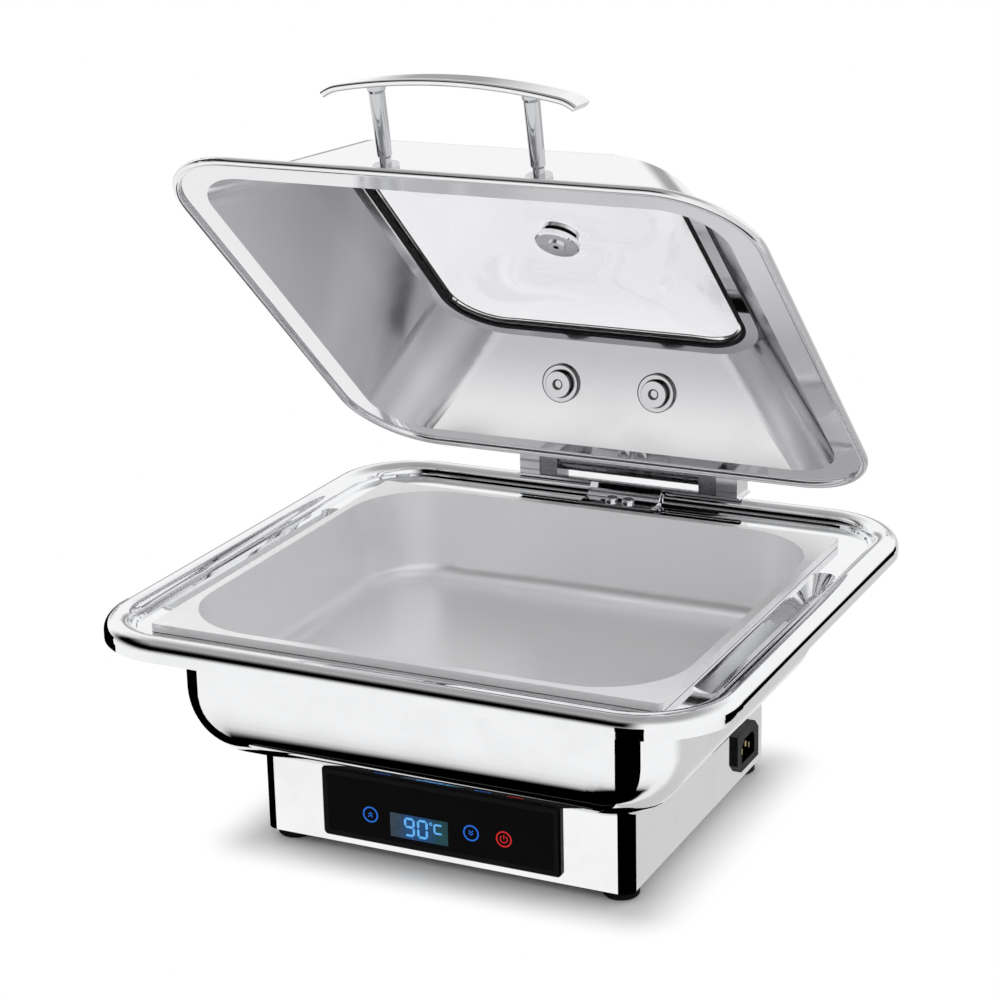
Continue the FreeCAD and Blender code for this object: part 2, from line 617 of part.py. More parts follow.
def pocket(body, name, sketch, depth):
    """Cuts a sketch away against its own direction."""
    feature = body.newObject("PartDesign::Pocket", name)
    feature.Profile = sketch
    feature.setExpression("Length", bound(depth))
    return feature


def turn(body, name, points):
    """Adds a turned solid about Z, from an outline of radius and height."""
    sketch = sketch_on(body, name + "_sketch", "XZ")
    trace(points)(sketch)
    feature = body.newObject("PartDesign::Revolution", name)
    feature.Profile = sketch
    feature.ReferenceAxis = (sketch, ["V_Axis"])
    feature.Angle = 360
    return feature


def sweep(body, name, path, section):
    """Adds a section drawn in a sketch along a path drawn in another."""
    feature = body.newObject("PartDesign::AdditivePipe", name)
    feature.Profile = section
    feature.Spine = (path, [])
    feature.Mode = "Standard"
    return feature


def loft(body, name, kind, ruled, *sections):
    """A loft through sections (level, width, depth, corner[, x, y])."""
    sketches = []
    for index, (level, *outline) in enumerate(sections):
        sketch = sketch_on(body, "%s_section_%d" % (name, index), "XY", level)
        rounded(*outline)(sketch)
        sketches.append(sketch)
    feature = body.newObject("PartDesign::%sLoft" % kind, name)
    feature.Profile = sketches[0]
    feature.Sections = sketches[1:]
    feature.Ruled = ruled
    return feature


def fillet(body, name, radius, chosen, kind="Fillet"):
    """Rounds or bevels the edges of the body's last feature that chosen() picks."""
    doc.recompute()
    base = body.Tip
    edges = ["Edge%d" % (index + 1) for index, edge in enumerate(base.Shape.Edges)
             if chosen(edge.BoundBox)]
    if not edges:
        raise RuntimeError(f"{body.Label}: {name} finds no edge")
    feature = body.newObject("PartDesign::" + kind, name)
    feature.Base = (base, edges)
    feature.setExpression("Size" if kind == "Chamfer" else "Radius", bound(radius))
    return feature


def at_height(level):
    """Picks the edges or faces that lie in one level plane."""
    height = number(level)
    return lambda bounds: abs(bounds.ZMin - height) < 0.01 and abs(bounds.ZMax - height) < 0.01


def hollow(body, name, wall, chosen):
    """Leaves a sheet of the solid, open at the faces that chosen() picks."""
    doc.recompute()
    base = body.Tip
    faces = ["Face%d" % (index + 1) for index, face in enumerate(base.Shape.Faces)
             if chosen(face.BoundBox)]
    feature = body.newObject("PartDesign::Thickness", name)
    feature.Base = (base, faces)
    feature.setExpression("Value", bound(wall))
    feature.Reversed = True
    return feature


def corners(x, y):
    """The four places at plus and minus x and y."""
    return [(f"{i} * ({x})", f"{j} * ({y})") for i in (-1, 1) for j in (-1, 1)]


# Heater base

FOOT_X = "(base_width / 2 - foot_inset_side)"
FOOT_Y = "(base_depth / 2 - foot_inset_end)"
COVER_SCREWS = [("0", "base_depth / 2 - base_flange / 2"), ("0", "base_flange / 2 - base_depth / 2"),
                ("base_width / 2 - base_flange / 2", "0"),
                ("base_flange / 2 - base_width / 2", "0")]
BASE_FRAME = frame_at("0", "base_centre_y")


def panel_outline(less, corner):
    """The touch panel's outline, smaller all round."""
    return rounded(f"panel_width - 2 * ({less})", f"panel_height - 2 * ({less})", corner,
                   "0", "panel_centre_z")


def make_base_housing():
    body = new_body("base_housing")
    place(body, BASE_FRAME)
    add(body, "outside", "XY", "foot_height", BASE_TOP,
        rounded("base_width", "base_depth", "base_corner"))
    hollow(body, "sheet", "base_wall", at_height("foot_height"))
    add(body, "return_flange", "XY", BASE_FLOOR, f"{BASE_FLOOR} + base_wall",
        rounded("base_width - base_wall", "base_depth - base_wall", "base_corner - base_wall / 2"),
        rounded("base_width - 2 * base_flange", "base_depth - 2 * base_flange", "base_corner / 2"))
    cut(body, "heater_opening", "XY", f"{BASE_TOP} - base_wall", BASE_TOP,
        rounded(f"{PLATE_WIDTH} + 2 * plate_margin", f"{PLATE_DEPTH} + 2 * plate_margin",
                "plate_corner + plate_margin", "0", "heater_offset"))
    cut(body, "panel_opening", "XZ", "-base_depth / 2", "base_wall - base_depth / 2",
        panel_outline("panel_overlap", "panel_corner"))
    cut(body, "inlet_opening", "YZ", "base_width / 2 - base_wall", "base_width / 2",
        box(f"{INLET_Y} - base_centre_y - inlet_body_width / 2 - fit_gap",
            f"{INLET_Y} - base_centre_y + inlet_body_width / 2 + fit_gap",
            "inlet_z - inlet_body_height / 2 - fit_gap",
            "inlet_z + inlet_body_height / 2 + fit_gap"))
    cut(body, "foot_holes", "XY", BASE_FLOOR, f"{BASE_FLOOR} + base_wall",
        *[disc("screw_radius + screw_gap", x, y) for x, y in corners(FOOT_X, FOOT_Y)])
    cut(body, "cover_screw_holes", "XY", BASE_FLOOR, f"{BASE_FLOOR} + base_wall",
        *[disc("small_screw_radius + running_gap", x, y) for x, y in COVER_SCREWS])


def make_bottom_cover():
    body = new_body("bottom_cover")
    place(body, BASE_FRAME)
    inset = "2 * (base_wall + fit_gap)"
    add(body, "sheet", "XY", "foot_height", BASE_FLOOR,
        rounded(f"base_width - {inset}", f"base_depth - {inset}", "base_corner - base_wall"))
    cut(body, "screw_holes", "XY", "foot_height", BASE_FLOOR,
        *[disc("screw_radius + screw_gap", x, y) for x, y in corners(FOOT_X, FOOT_Y)],
        *[disc("small_screw_radius + screw_gap", x, y) for x, y in COVER_SCREWS])
    vents = cut(body, "vents", "XY", "foot_height", BASE_FLOOR,
                *[slot("vent_length", "vent_width", "(1 - vent_count) / 2 * vent_pitch", row)
                  for row in ("-vent_row", "vent_row")])
    rows = body.newObject("PartDesign::LinearPattern", "vent_rows")
    rows.Originals = [vents]
    rows.Direction = (vents.Profile[0], ["H_Axis"])
    rows.setExpression("Length", bound("(vent_count - 1) * vent_pitch"))
    rows.setExpression("Occurrences", bound("vent_count"))
    body.Tip = rows


def make_feet():
    for end, sign_y in (("front", "-1"), ("rear", "1")):
        for side, sign_x in (("left", "-1"), ("right", "1")):
            body = new_body(f"foot_{end}_{side}")
            place(body, frame_at(f"{sign_x} * {FOOT_X}", f"base_centre_y + {sign_y} * {FOOT_Y}"))
            hole, recess = "screw_radius + screw_gap", "screw_head_radius + screw_gap * 2"
            turn(body, "foot", [
                (hole, "foot_height"), (hole, "foot_recess"), (recess, "foot_recess"),
                (recess, "0"), ("foot_radius - foot_edge", "0"), ("foot_radius", "foot_edge"),
                ("foot_radius", "foot_height")])


def make_foot_fasteners():
    places = corners(FOOT_X, FOOT_Y)
    screws = new_body("foot_screws")
    place(screws, BASE_FRAME)
    add(screws, "shanks", "XY", "foot_recess", f"{BASE_FLOOR} + base_wall + nut_height + screw_tail",
        *[disc("screw_radius", x, y) for x, y in places])
    add(screws, "heads", "XY", "foot_recess - screw_head", "foot_recess",
        *[disc("screw_head_radius", x, y) for x, y in places])
    nuts = new_body("foot_nuts")
    place(nuts, BASE_FRAME)
    low = f"{BASE_FLOOR} + base_wall"
    add(nuts, "nuts", "XY", low, f"{low} + nut_height",
        *[hexagon("nut_flats", x, y) for x, y in places])
    cut(nuts, "threads", "XY", low, f"{low} + nut_height",
        *[disc("screw_radius + running_gap", x, y) for x, y in places])
    cover_screws = new_body("cover_screws")
    place(cover_screws, BASE_FRAME)
    add(cover_screws, "shanks", "XY", "foot_height", f"{BASE_FLOOR} + cover_screw_length",
        *[disc("small_screw_radius", x, y) for x, y in COVER_SCREWS])
    add(cover_screws, "heads", "XY", "foot_height - small_head", "foot_height",
        *[disc("small_head_radius", x, y) for x, y in COVER_SCREWS])


# Touch panel

POSTS = [(x, f"panel_centre_z + {y}")
         for x, y in corners("board_width / 2 - post_inset", "(board_height / 2 - post_inset)")]
KEYS = ["key_left_x", "key_middle_x", "key_right_x"]


def make_panel_frame():
    body = new_body("panel_frame")
    face = f"{BASE_FRONT} - panel_proud"
    add(body, "frame", "XZ", face, BASE_FRONT, panel_outline("0", "panel_corner"))
    fillet(body, "bevel", "panel_bevel",
           lambda bounds: bounds.YMax < number(face) + 0.01, "Chamfer")
    add(body, "plug", "XZ", BASE_FRONT, f"{BASE_FRONT} + panel_plug",
        panel_outline("panel_overlap + fit_gap", "panel_corner"))
    cut(body, "glass_seat", "XZ", face, GLASS_BACK,
        panel_outline("panel_border", "panel_corner / 2"))
    cut(body, "hollow_back", "XZ", WEB_BACK, f"{BASE_FRONT} + panel_plug",
        panel_outline("panel_overlap + fit_gap + panel_wall", "panel_corner / 2"))
    cut(body, "display_window", "XZ", GLASS_BACK, WEB_BACK,
        box("display_x - display_width / 2", "display_x + display_width / 2",
            "display_z - display_height / 2", "display_z + display_height / 2"))
    cut(body, "key_holes", "XZ", GLASS_BACK, WEB_BACK,
        *[disc("key_radius", x, "key_z") for x in KEYS])
    add(body, "posts", "XZ", WEB_BACK, BOARD_FRONT,
        *[disc("post_radius", x, z) for x, z in POSTS])
    cut(body, "pilot_holes", "XZ", f"{WEB_BACK} + pilot_floor", BOARD_FRONT,
        *[disc("small_screw_radius + running_gap", x, z) for x, z in POSTS])


def make_touch_glass():
    body = new_body("touch_glass")
    add(body, "pane", "XZ", f"{GLASS_BACK} - glass_wall - contact_gap / 2",
        f"{GLASS_BACK} - contact_gap / 2",
        panel_outline("panel_border + contact_gap", "panel_corner / 2"))


def make_panel_electronics():
    display = new_body("display_module")
    add(display, "case", "XZ", f"{WEB_BACK} + contact_gap",
        f"{WEB_BACK} + contact_gap + display_depth",
        box("display_x - display_width / 2 - panel_wall", "display_x + display_width / 2 + panel_wall",
            "display_z - display_height / 2 - panel_wall",
            "display_z + display_height / 2 + panel_wall"))
    add(display, "lit_face", "XZ", f"{WEB_BACK} - panel_wall / 2", f"{WEB_BACK} + contact_gap",
        box("display_x - display_width / 2 + fit_gap", "display_x + display_width / 2 - fit_gap",
            "display_z - display_height / 2 + fit_gap", "display_z + display_height / 2 - fit_gap"))
    springs = new_body("touch_springs")
    add(springs, "springs", "XZ", GLASS_BACK, BOARD_FRONT,
        *[disc("spring_radius", x, "key_z") for x in KEYS])
    cut(springs, "bores", "XZ", GLASS_BACK, BOARD_FRONT,
        *[disc("spring_radius - spring_wall", x, "key_z") for x in KEYS])
    board = new_body("control_board")
    back = f"{BOARD_FRONT} + board_wall"
    add(board, "board", "XZ", BOARD_FRONT, back,
        rounded("board_width", "board_height", "panel_corner / 2", "0", "panel_centre_z"))
    cut(board, "screw_holes", "XZ", BOARD_FRONT, back,
        *[disc("small_screw_radius + screw_gap", x, z) for x, z in POSTS])
    parts = new_body("board_parts")
    for name in ("relay", "transformer"):
        add(parts, name, "XZ", back, f"{back} + parts_depth",
            box(f"{name}_x - {name}_width / 2", f"{name}_x + {name}_width / 2",
                f"panel_centre_z - {name}_height / 2", f"panel_centre_z + {name}_height / 2"))
    add(parts, "capacitors", "XZ", back, f"{back} + parts_depth",
        disc("capacitor_radius", "capacitor_x", "panel_centre_z"),
        *[disc("small_capacitor_radius", f"capacitor_x + {count} * small_capacitor_pitch",
               "panel_centre_z") for count in (1, 2)])
    screws = new_body("board_screws")
    add(screws, "shanks", "XZ", f"{WEB_BACK} + pilot_floor + pilot_gap", back,
        *[disc("small_screw_radius", x, z) for x, z in POSTS])
    add(screws, "heads", "XZ", back, f"{back} + small_head",
        *[disc("small_head_radius", x, z) for x, z in POSTS])


# Power inlet

SIDE = "(base_width / 2)"
SOCKET_END = f"({SIDE} + inlet_proud - socket_depth)"
PINS = [(f"{INLET_Y} - pin_pitch", "inlet_z - pin_lift / 2"),
        (INLET_Y, "inlet_z + pin_lift / 2"),
        (f"{INLET_Y} + pin_pitch", "inlet_z - pin_lift / 2")]


def pin_shapes(grow):
    """The sections of the three pins, larger all round."""
    half, tall = f"(pin_width / 2 + {grow})", f"(pin_height / 2 + {grow})"
    return [box(f"{y} - {half}", f"{y} + {half}", f"{z} - {tall}", f"{z} + {tall}")
            for y, z in PINS]


def clipped(width, height, corner, *cut_off):
    """The inlet's outline with the named corners cut off."""
    left, right = f"{INLET_Y} - {width} / 2", f"{INLET_Y} + {width} / 2"
    low, high = f"inlet_z - {height} / 2", f"inlet_z + {height} / 2"
    corners_round = [
        ("front_low", (left, low), (left, f"{low} + {corner}"), (f"{left} + {corner}", low)),
        ("rear_low", (right, low), (f"{right} - {corner}", low), (right, f"{low} + {corner}")),
        ("rear_top", (right, high), (right, f"{high} - {corner}"), (f"{right} - {corner}", high)),
        ("front_top", (left, high), (f"{left} + {corner}", high), (left, f"{high} - {corner}"))]
    points = []
    for name, square, start, stop in corners_round:
        points += [start, stop] if name in cut_off else [square]
    return trace(points)


def make_power_inlet():
    body = new_body("power_inlet")
    add(body, "flange", "YZ", SIDE, f"{SIDE} + inlet_proud",
        clipped("inlet_width", "inlet_height", "inlet_corner", "front_low", "rear_top"))
    add(body, "shell", "YZ", f"{SIDE} - inlet_depth", SIDE,
        clipped("inlet_body_width", "inlet_body_height", "inlet_corner / 2"))
    cut(body, "socket", "YZ", SOCKET_END, f"{SIDE} + inlet_proud",
        clipped("socket_width", "socket_height", "socket_corner", "rear_top", "front_top"))
    cut(body, "pin_slots", "YZ", f"{SIDE} - inlet_depth", SOCKET_END, *pin_shapes("running_gap"))
    pins = new_body("inlet_pins")
    add(pins, "pins", "YZ", f"{SIDE} - inlet_depth - pin_tail",
        f"{SIDE} + inlet_proud - pin_short", *pin_shapes("0"))


# Heater

HEATER_FRAME = frame_at("0", HEATER_Y)
STUDS = corners("stud_place", "stud_place")


def make_heating_plate():
    body = new_body("heating_plate")
    place(body, HEATER_FRAME)
    add(body, "plate", "XY", PLATE_LOW, PLATE_TOP,
        rounded(PLATE_WIDTH, PLATE_DEPTH, "plate_corner"))
    cut(body, "stud_holes", "XY", PLATE_LOW, PLATE_TOP,
        *[disc("stud_radius + screw_gap", x, y) for x, y in STUDS])
    cut(body, "sensor_hole", "XY", PLATE_LOW, PLATE_TOP, disc("sensor_radius + fit_gap"))


def make_heating_element():
    body = new_body("heating_element")
    place(body, HEATER_FRAME)
    path = sketch_on(body, "route", "XY", ELEMENT_Z)
    bend, left, right = "element_pitch / 2", "-element_turn_left", "element_turn_right"
    trace([
        ("element_reach", "-1.5 * element_pitch"),
        (left, "-1.5 * element_pitch"),
        (f"{left} - {bend}", "-element_pitch", bend, -1), (left, "-0.5 * element_pitch", bend, -1),
        (right, "-0.5 * element_pitch"),
        (f"{right} + {bend}", "0", bend, 1), (right, "0.5 * element_pitch", bend, 1),
        (left, "0.5 * element_pitch"),
        (f"{left} - {bend}", "element_pitch", bend, -1), (left, "1.5 * element_pitch", bend, -1),
        ("element_reach", "1.5 * element_pitch"),
    ], closed=False)(path)
    section = sketch_on(body, "tube", "YZ", "element_reach")
    disc("element_radius", "-1.5 * element_pitch", ELEMENT_Z)(section)
    sweep(body, "element", path, section)
    ends = [("-1.5 * element_pitch", ELEMENT_Z), ("1.5 * element_pitch", ELEMENT_Z)]
    insulators = new_body("element_insulators")
    place(insulators, HEATER_FRAME)
    add(insulators, "beads", "YZ", "element_reach", "element_reach + insulator_length",
        *[disc("insulator_radius", y, z) for y, z in ends])
    cut(insulators, "bores", "YZ", "element_reach", "element_reach + insulator_length",
        *[disc("terminal_radius + running_gap", y, z) for y, z in ends])
    pins = new_body("element_pins")
    place(pins, HEATER_FRAME)
    add(pins, "pins", "YZ", "element_reach", "element_reach + insulator_length + terminal_length",
        *[disc("terminal_radius", y, z) for y, z in ends])


def make_heater_clamping():
    studs = new_body("pan_studs")
    place(studs, HEATER_FRAME)
    add(studs, "studs", "XY", STUD_LOW, BASE_TOP, *[disc("stud_radius", x, y) for x, y in STUDS])
    clamps = new_body("element_clamps")
    place(clamps, HEATER_FRAME)
    top = f"{CLAMP_LOW} + clamp_wall"
    add(clamps, "bars", "XY", CLAMP_LOW, top,
        *[rounded("clamp_width", "clamp_length", "clamp_wall", x)
          for x in ("-stud_place", "stud_place")])
    cut(clamps, "holes", "XY", CLAMP_LOW, top,
        *[disc("stud_radius + screw_gap", x, y) for x, y in STUDS])
    nuts = new_body("stud_nuts")
    place(nuts, HEATER_FRAME)
    levels = (("clamp_nuts", f"{CLAMP_LOW} - stud_nut"), ("shield_nuts", f"{SHIELD_LOW} - stud_nut"))
    for name, low in levels:
        add(nuts, name, "XY", low, f"{low} + stud_nut",
            *[hexagon("stud_nut_flats", x, y) for x, y in STUDS],
            *[disc("stud_radius + running_gap", x, y) for x, y in STUDS])
    spacers = new_body("shield_spacers")
    place(spacers, HEATER_FRAME)
    add(spacers, "tubes", "XY", f"{SHIELD_LOW} + shield_wall", f"{CLAMP_LOW} - stud_nut",
        *[disc("stud_radius + spacer_wall", x, y) for x, y in STUDS],
        *[disc("stud_radius + screw_gap", x, y) for x, y in STUDS])


def make_heat_shield():
    body = new_body("heat_shield")
    place(body, HEATER_FRAME)
    top = f"{SHIELD_LOW} + shield_rise"
    add(body, "outside", "XY", SHIELD_LOW, top,
        rounded(f"{PLATE_WIDTH} + 2 * shield_reach_side", f"{PLATE_DEPTH} + 2 * shield_reach_end",
                "shield_corner"))
    hollow(body, "sheet", "shield_wall", at_height(top))
    cut(body, "stud_holes", "XY", SHIELD_LOW, f"{SHIELD_LOW} + shield_wall",
        *[disc("stud_radius + screw_gap", x, y) for x, y in STUDS])


def make_heater_sensors():
    sensor = new_body("temperature_sensor")
    place(sensor, HEATER_FRAME)
    flange_top = f"{PLATE_LOW} - contact_gap"
    turn(sensor, "sensor", [
        ("0", f"{flange_top} - sensor_length"), ("sensor_stem", f"{flange_top} - sensor_length"),
        ("sensor_stem", f"{flange_top} - sensor_flange_wall"),
        ("sensor_flange", f"{flange_top} - sensor_flange_wall"),
        ("sensor_flange", flange_top), ("sensor_radius", flange_top),
        ("sensor_radius", f"{PLATE_TOP} - contact_gap"), ("0", f"{PLATE_TOP} - contact_gap")])
    cutout = new_body("thermal_cutout")
    place(cutout, HEATER_FRAME)
    top = f"{PLATE_LOW} - contact_gap"
    add(cutout, "case", "XY", f"{top} - cutout_height", top, disc("cutout_radius", "cutout_x"))
    add(cutout, "tabs", "XY", f"{top} - cutout_height - tab_height", f"{top} - cutout_height",
        *[box(f"cutout_x + {side} * tab_place - tab_wall / 2",
              f"cutout_x + {side} * tab_place + tab_wall / 2", "-tab_width / 2", "tab_width / 2")
          for side in (-1, 1)])
    block = new_body("terminal_block")
    place(block, frame_at("base_width / 2 - block_inset_side", f"{BASE_BACK} - block_inset_end"))
    add(block, "case", "XY", BASE_FLOOR, f"{BASE_FLOOR} + block_height",
        rounded("block_width", "block_depth", "block_corner"))
    cut(block, "wire_ways", "XZ", "-block_depth / 2", "block_depth / 2",
        *[disc("wire_way_radius", f"{place_x} * wire_way_pitch", f"{BASE_FLOOR} + wire_way_height")
          for place_x in (-1, 0, 1)])


# Water pan

def rim_outline(less):
    """The rim's outline, smaller all round."""
    return rounded(f"rim_width - 2 * ({less})", f"rim_depth - 2 * ({less})",
                   f"rim_corner - ({less})", "0", "rim_centre_y")


def pan_outline(less):
    """The water pan's outline, smaller all round."""
    return rounded(f"pan_width - 2 * ({less})", f"pan_depth - 2 * ({less})",
                   f"pan_corner - ({less})", "0", "pan_centre_y")


GUTTERS = [("left", "-1"), ("right", "1")]
HINGE_BOLTS = [(f"{side} * hinge_bolt_x", f"{FOOT_BACK} - hinge_bolt_inset") for side in (-1, 1)]


def gutter_outline(sign, level, sunk, grow):
    """A section of a finger recess, from its mouth (sunk 0) to its bottom (sunk 1)."""
    width = f"(gutter_width - 2 * {sunk} * gutter_slope_side + 2 * {grow})"
    length = f"(gutter_length - 2 * {sunk} * gutter_slope_end + 2 * {grow})"
    return (level, width, length, f"0.49 * {width}",
            f"{sign} * (rim_width / 2 - gutter_inset)", "pan_centre_y + gutter_shift")


def make_water_pan():
    body = new_body("water_pan")
    add(body, "outside", "XY", BASE_TOP, LEDGE, pan_outline("0"))
    fillet(body, "round_bottom", "pan_round", at_height(BASE_TOP))
    hollow(body, "sheet", "pan_wall", at_height(LEDGE))
    add(body, "ledge", "XY", f"{LEDGE} - pan_wall", LEDGE,
        rim_outline("2 * bead_radius - pan_wall / 2"), pan_outline("pan_wall"))
    path = sketch_on(body, "bead_path", "XY", BEAD_Z)
    rim_outline("bead_radius")(path)
    section = sketch_on(body, "bead_section", "XZ")
    inner = "(bead_radius - pan_wall)"
    trace([
        (f"{BEAD_X} + bead_radius", f"{BEAD_Z} - bead_lip"),
        (f"{BEAD_X} + bead_radius", BEAD_Z),
        (BEAD_X, BEAD_TOP, "bead_radius", 1),
        (f"{BEAD_X} - bead_radius", BEAD_Z, "bead_radius", 1),
        (f"{BEAD_X} - bead_radius", f"{LEDGE} - pan_wall"),
        (f"{BEAD_X} - {inner}", f"{LEDGE} - pan_wall"),
        (f"{BEAD_X} - {inner}", BEAD_Z),
        (BEAD_X, f"{BEAD_Z} + {inner}", inner, -1),
        (f"{BEAD_X} + {inner}", BEAD_Z, inner, -1),
        (f"{BEAD_X} + {inner}", f"{BEAD_Z} - bead_lip"),
    ])(section)
    sweep(body, "bead", path, section)
    step = sketch_on(body, "step_section", "XZ")
    foot, low = f"({BEAD_X} - bead_radius)", f"{LEDGE} - pan_wall / 2"
    trace([
        (f"{foot} + pan_wall / 2", low), (f"{foot} + pan_wall / 2", f"{LEDGE} + step_height"),
        (f"{foot} - step_width", f"{LEDGE} + step_height"),
        (f"{foot} - step_width - step_slope", low),
    ])(step)
    sweep(body, "step", path, step)
    for side, sign in GUTTERS:
        loft(body, f"gutter_wall_{side}", "Additive", True,
             gutter_outline(sign, f"{LEDGE} - gutter_depth - pan_wall", "1", "gutter_sheet"),
             gutter_outline(sign, f"{LEDGE} - pan_wall / 2", "0", "gutter_sheet"))
    for side, sign in GUTTERS:
        loft(body, f"gutter_{side}", "Subtractive", True,
             gutter_outline(sign, f"{LEDGE} - gutter_depth", "1", "0"),
             gutter_outline(sign, LEDGE, "0", "0"))
    cut(body, "hinge_bolt_holes", "XY", f"{LEDGE} - pan_wall", LEDGE,
        *[disc("stud_radius + screw_gap", x, y) for x, y in HINGE_BOLTS])


def make_rim_skirt():
    body = new_body("rim_skirt")
    low = f"{SKIRT_TOP} - skirt_height"
    sections = []
    for raised in ("0", "skirt_wall"):
        sections.append([
            (f"{low} + {raised}", "pan_width + 2 * skirt_foot", "pan_depth + 2 * skirt_foot",
             "pan_corner + skirt_foot", "0", "pan_centre_y"),
            (f"{SKIRT_TOP} + {raised}", "rim_width - 2 * (pan_wall + contact_gap)",
             "rim_depth - 2 * (pan_wall + contact_gap)", "rim_corner - pan_wall - contact_gap",
             "0", "rim_centre_y")])
    loft(body, "outside", "Additive", True, *sections[0])
    loft(body, "inside", "Subtractive", True, *sections[1])
    cut(body, "pan_opening", "XY", low, SKIRT_TOP, pan_outline("-contact_gap"))


# Food pan

def make_food_pan():
    body = new_body("food_pan")
    place(body, frame_at("0", "pan_centre_y", TRAY_TOP))
    loft(body, "outside", "Additive", True,
         ("-tray_drop", "tray_floor_width", "tray_floor_depth", "tray_floor_corner"),
         ("0", "tray_mouth_width", "tray_mouth_depth", "tray_mouth_corner"))
    loft(body, "inside", "Subtractive", True,
         ("tray_wall - tray_drop", "tray_floor_width - 2 * tray_wall",
          "tray_floor_depth - 2 * tray_wall", "tray_floor_corner - tray_wall"),
         ("0", "tray_mouth_width - 2 * tray_wall", "tray_mouth_depth - 2 * tray_wall",
          "tray_mouth_corner - tray_wall"))
    fillet(body, "round_bottom", "tray_round", at_height("-tray_drop"))
    fillet(body, "round_inside", "tray_round - tray_wall", at_height("tray_wall - tray_drop"))
    add(body, "flange", "XY", "-tray_wall", "0",
        rounded("tray_width", "tray_depth", "tray_corner"),
        rounded("tray_mouth_width - tray_wall", "tray_mouth_depth - tray_wall",
                "tray_mouth_corner - tray_wall / 2"))
    add(body, "lip", "XY", "-tray_lip", "-tray_wall / 2",
        rounded("tray_width", "tray_depth", "tray_corner"),
        rounded("tray_width - 2 * tray_wall", "tray_depth - 2 * tray_wall",
                "tray_corner - tray_wall"))


# Lid

def window_outline(grow):
    """The window's outline, larger all round."""
    return rounded(f"{WINDOW_WIDTH} + 2 * ({grow})", f"{WINDOW_DEPTH} + 2 * ({grow})",
                   f"window_corner + ({grow})")


def make_lid_shell():
    body = new_body("lid_shell")
    place(body, LID)
    loft(body, "dome", "Additive", True,
         ("0", DOME_WIDTH, DOME_DEPTH, "lid_corner - lid_flange"),
         ("lid_height", "lid_top_width", "lid_top_depth", "lid_top_corner"))
    across = f"2 * lid_wall / sin({WALL_ANGLE})"
    narrowing = f"(({DOME_WIDTH} - lid_top_width) * lid_wall / lid_height)"
    shortening = f"(({DOME_DEPTH} - lid_top_depth) * lid_wall / lid_height)"
    loft(body, "inside", "Subtractive", True,
         ("0", f"{DOME_WIDTH} - {across}", f"{DOME_DEPTH} - {across}",
          "lid_corner - lid_flange - lid_wall"),
         (LID_TOP_INSIDE, f"lid_top_width + {narrowing} - {across}",
          f"lid_top_depth + {shortening} - {across}", "lid_top_corner - lid_wall"))
    fillet(body, "upper_edge", "lid_edge", at_height("lid_height"))
    fillet(body, "inner_edge", "lid_edge - lid_wall", at_height(LID_TOP_INSIDE))
    add(body, "flange", "XY", "0", "lid_wall",
        rounded("lid_width - 2 * lid_roll", "lid_depth - 2 * lid_roll", "lid_corner - lid_roll"),
        rounded(f"{DOME_WIDTH} - lid_wall", f"{DOME_DEPTH} - lid_wall",
                "lid_corner - lid_flange - lid_wall / 2"))
    path = sketch_on(body, "roll_path")
    rounded("lid_width - 2 * lid_roll", "lid_depth - 2 * lid_roll", "lid_corner - lid_roll")(path)
    section = sketch_on(body, "roll_section", "XZ")
    disc("lid_roll", "lid_width / 2 - lid_roll")(section)
    sweep(body, "rolled_edge", path, section)
    cut(body, "window", "XY", LID_TOP_INSIDE, "lid_height", window_outline("contact_gap"))
    cut_wall(body, "post_holes", "-1", "handle_rise", "2 * lid_wall",
             *[disc("screw_radius + screw_gap", f"{side} * handle_post_x") for side in (-1, 1)])
    cut_wall(body, "bracket_holes", "1", "bracket_bolt_rise", "2 * lid_wall",
             *[disc("bracket_bolt_radius + screw_gap", f"{side} * bracket_bolt_x")
               for side in (-1, 1)])


